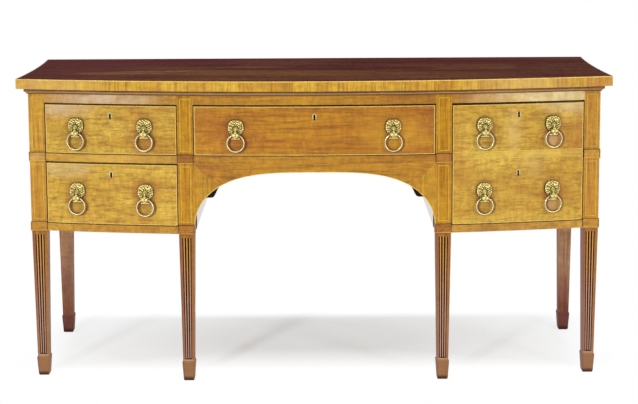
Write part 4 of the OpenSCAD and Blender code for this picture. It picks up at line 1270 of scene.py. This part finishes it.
def floorMaterial():
    material = bpy.data.materials.new("floorPaper")
    material.use_nodes = True
    tree = material.node_tree
    tree.nodes.remove(tree.nodes["Principled BSDF"])
    plain = addNode(tree, "ShaderNodeBsdfDiffuse", {"Color": studio["floorBounce"]}).outputs[0]
    shade = addNode(tree, "ShaderNodeBsdfDiffuse", {"Color": studio["floorShade"]}).outputs[0]
    glow = addNode(tree, "ShaderNodeEmission", {"Color": white, "Strength": studio["floorGlow"]}).outputs[0]
    lit = addNode(tree, "ShaderNodeAddShader", {0: shade, 1: glow}).outputs[0]
    paper = addNode(tree, "ShaderNodeEmission", {"Color": white, "Strength": 1.0}).outputs[0]
    spot = objectPlace(tree)
    offset = vectorMaths(tree, "SUBTRACT", spot, studio["clearMiddle"])
    squeezed = vectorMaths(tree, "MULTIPLY", offset, studio["clearScale"])
    away = vectorMaths(tree, "LENGTH", squeezed)
    front = spread(tree, axes(tree, spot)["Y"], *studio["frontFade"])
    # painted light: white paper over the case's shadow at its sides and front
    paperOverShadow = maths(tree, "MAXIMUM", spread(tree, away, *studio["clearSpan"]), front)
    surface = mixShaders(tree, seenDirectly(tree), plain, mixShaders(tree, paperOverShadow, lit, paper))
    setInputs(tree, tree.nodes["Material Output"], {"Surface": surface})
    return material


def makeFloor():
    bm = bmesh.new()
    left, right, front, back = studio["floor"]
    for x, y in ((left, front), (right, front), (right, back), (left, back)):
        bm.verts.new((x, y, 0))
    bm.faces.new(bm.verts)
    mesh = meshFrom(bm, "floor")
    mesh.materials.append(floorMaterial())
    addObject("floor", mesh)


def makeWorld():
    world = bpy.data.worlds.new("studio")
    bpy.context.scene.world = world
    world.use_nodes = True
    tree = world.node_tree
    strength = spread(tree, seenDirectly(tree), 0.0, 1.0, studio["worldFill"], 1.0)
    setInputs(tree, tree.nodes["Background"], {"Color": white, "Strength": strength})


def makeLamps():
    for name, look in lamps.items():
        lamp = bpy.data.lights.new(name, "AREA")
        lamp.shape = "RECTANGLE"
        lamp.size, lamp.size_y = look["size"]
        lamp.energy = look["power"]
        holder = addObject(name, lamp)
        holder.location = look["place"]
        way = Vector(look["target"]) - Vector(look["place"])
        holder.rotation_euler = way.to_track_quat("-Z", "Y").to_euler()


def makeCamera():
    yaw, pitch, roll = (math.radians(shot[key]) for key in ("yaw", "pitch", "roll"))
    ahead = Vector((math.sin(yaw) * math.cos(pitch), math.cos(yaw) * math.cos(pitch), -math.sin(pitch)))
    level = Vector((math.cos(yaw), -math.sin(yaw), 0))
    above = level.cross(ahead)
    right = math.cos(roll) * level + math.sin(roll) * above
    up = -math.sin(roll) * level + math.cos(roll) * above
    lens = bpy.data.cameras.new("camera")
    lens.sensor_width = shot["sensor"]
    lens.lens = shot["focal"] / shot["frame"] * shot["sensor"]
    lens.shift_y = -shot["drop"] / shot["frame"]
    lens.clip_end = shot["reach"]
    camera = addObject("camera", lens)
    turn = Matrix((right, up, -ahead)).transposed()
    camera.matrix_world = Matrix.Translation(shot["place"]) @ turn.to_4x4()
    bpy.context.scene.camera = camera


makeFloor()
makeWorld()
makeLamps()
makeCamera()
bpy.context.scene.view_settings.view_transform = "Standard"
print("floor, light and camera set")
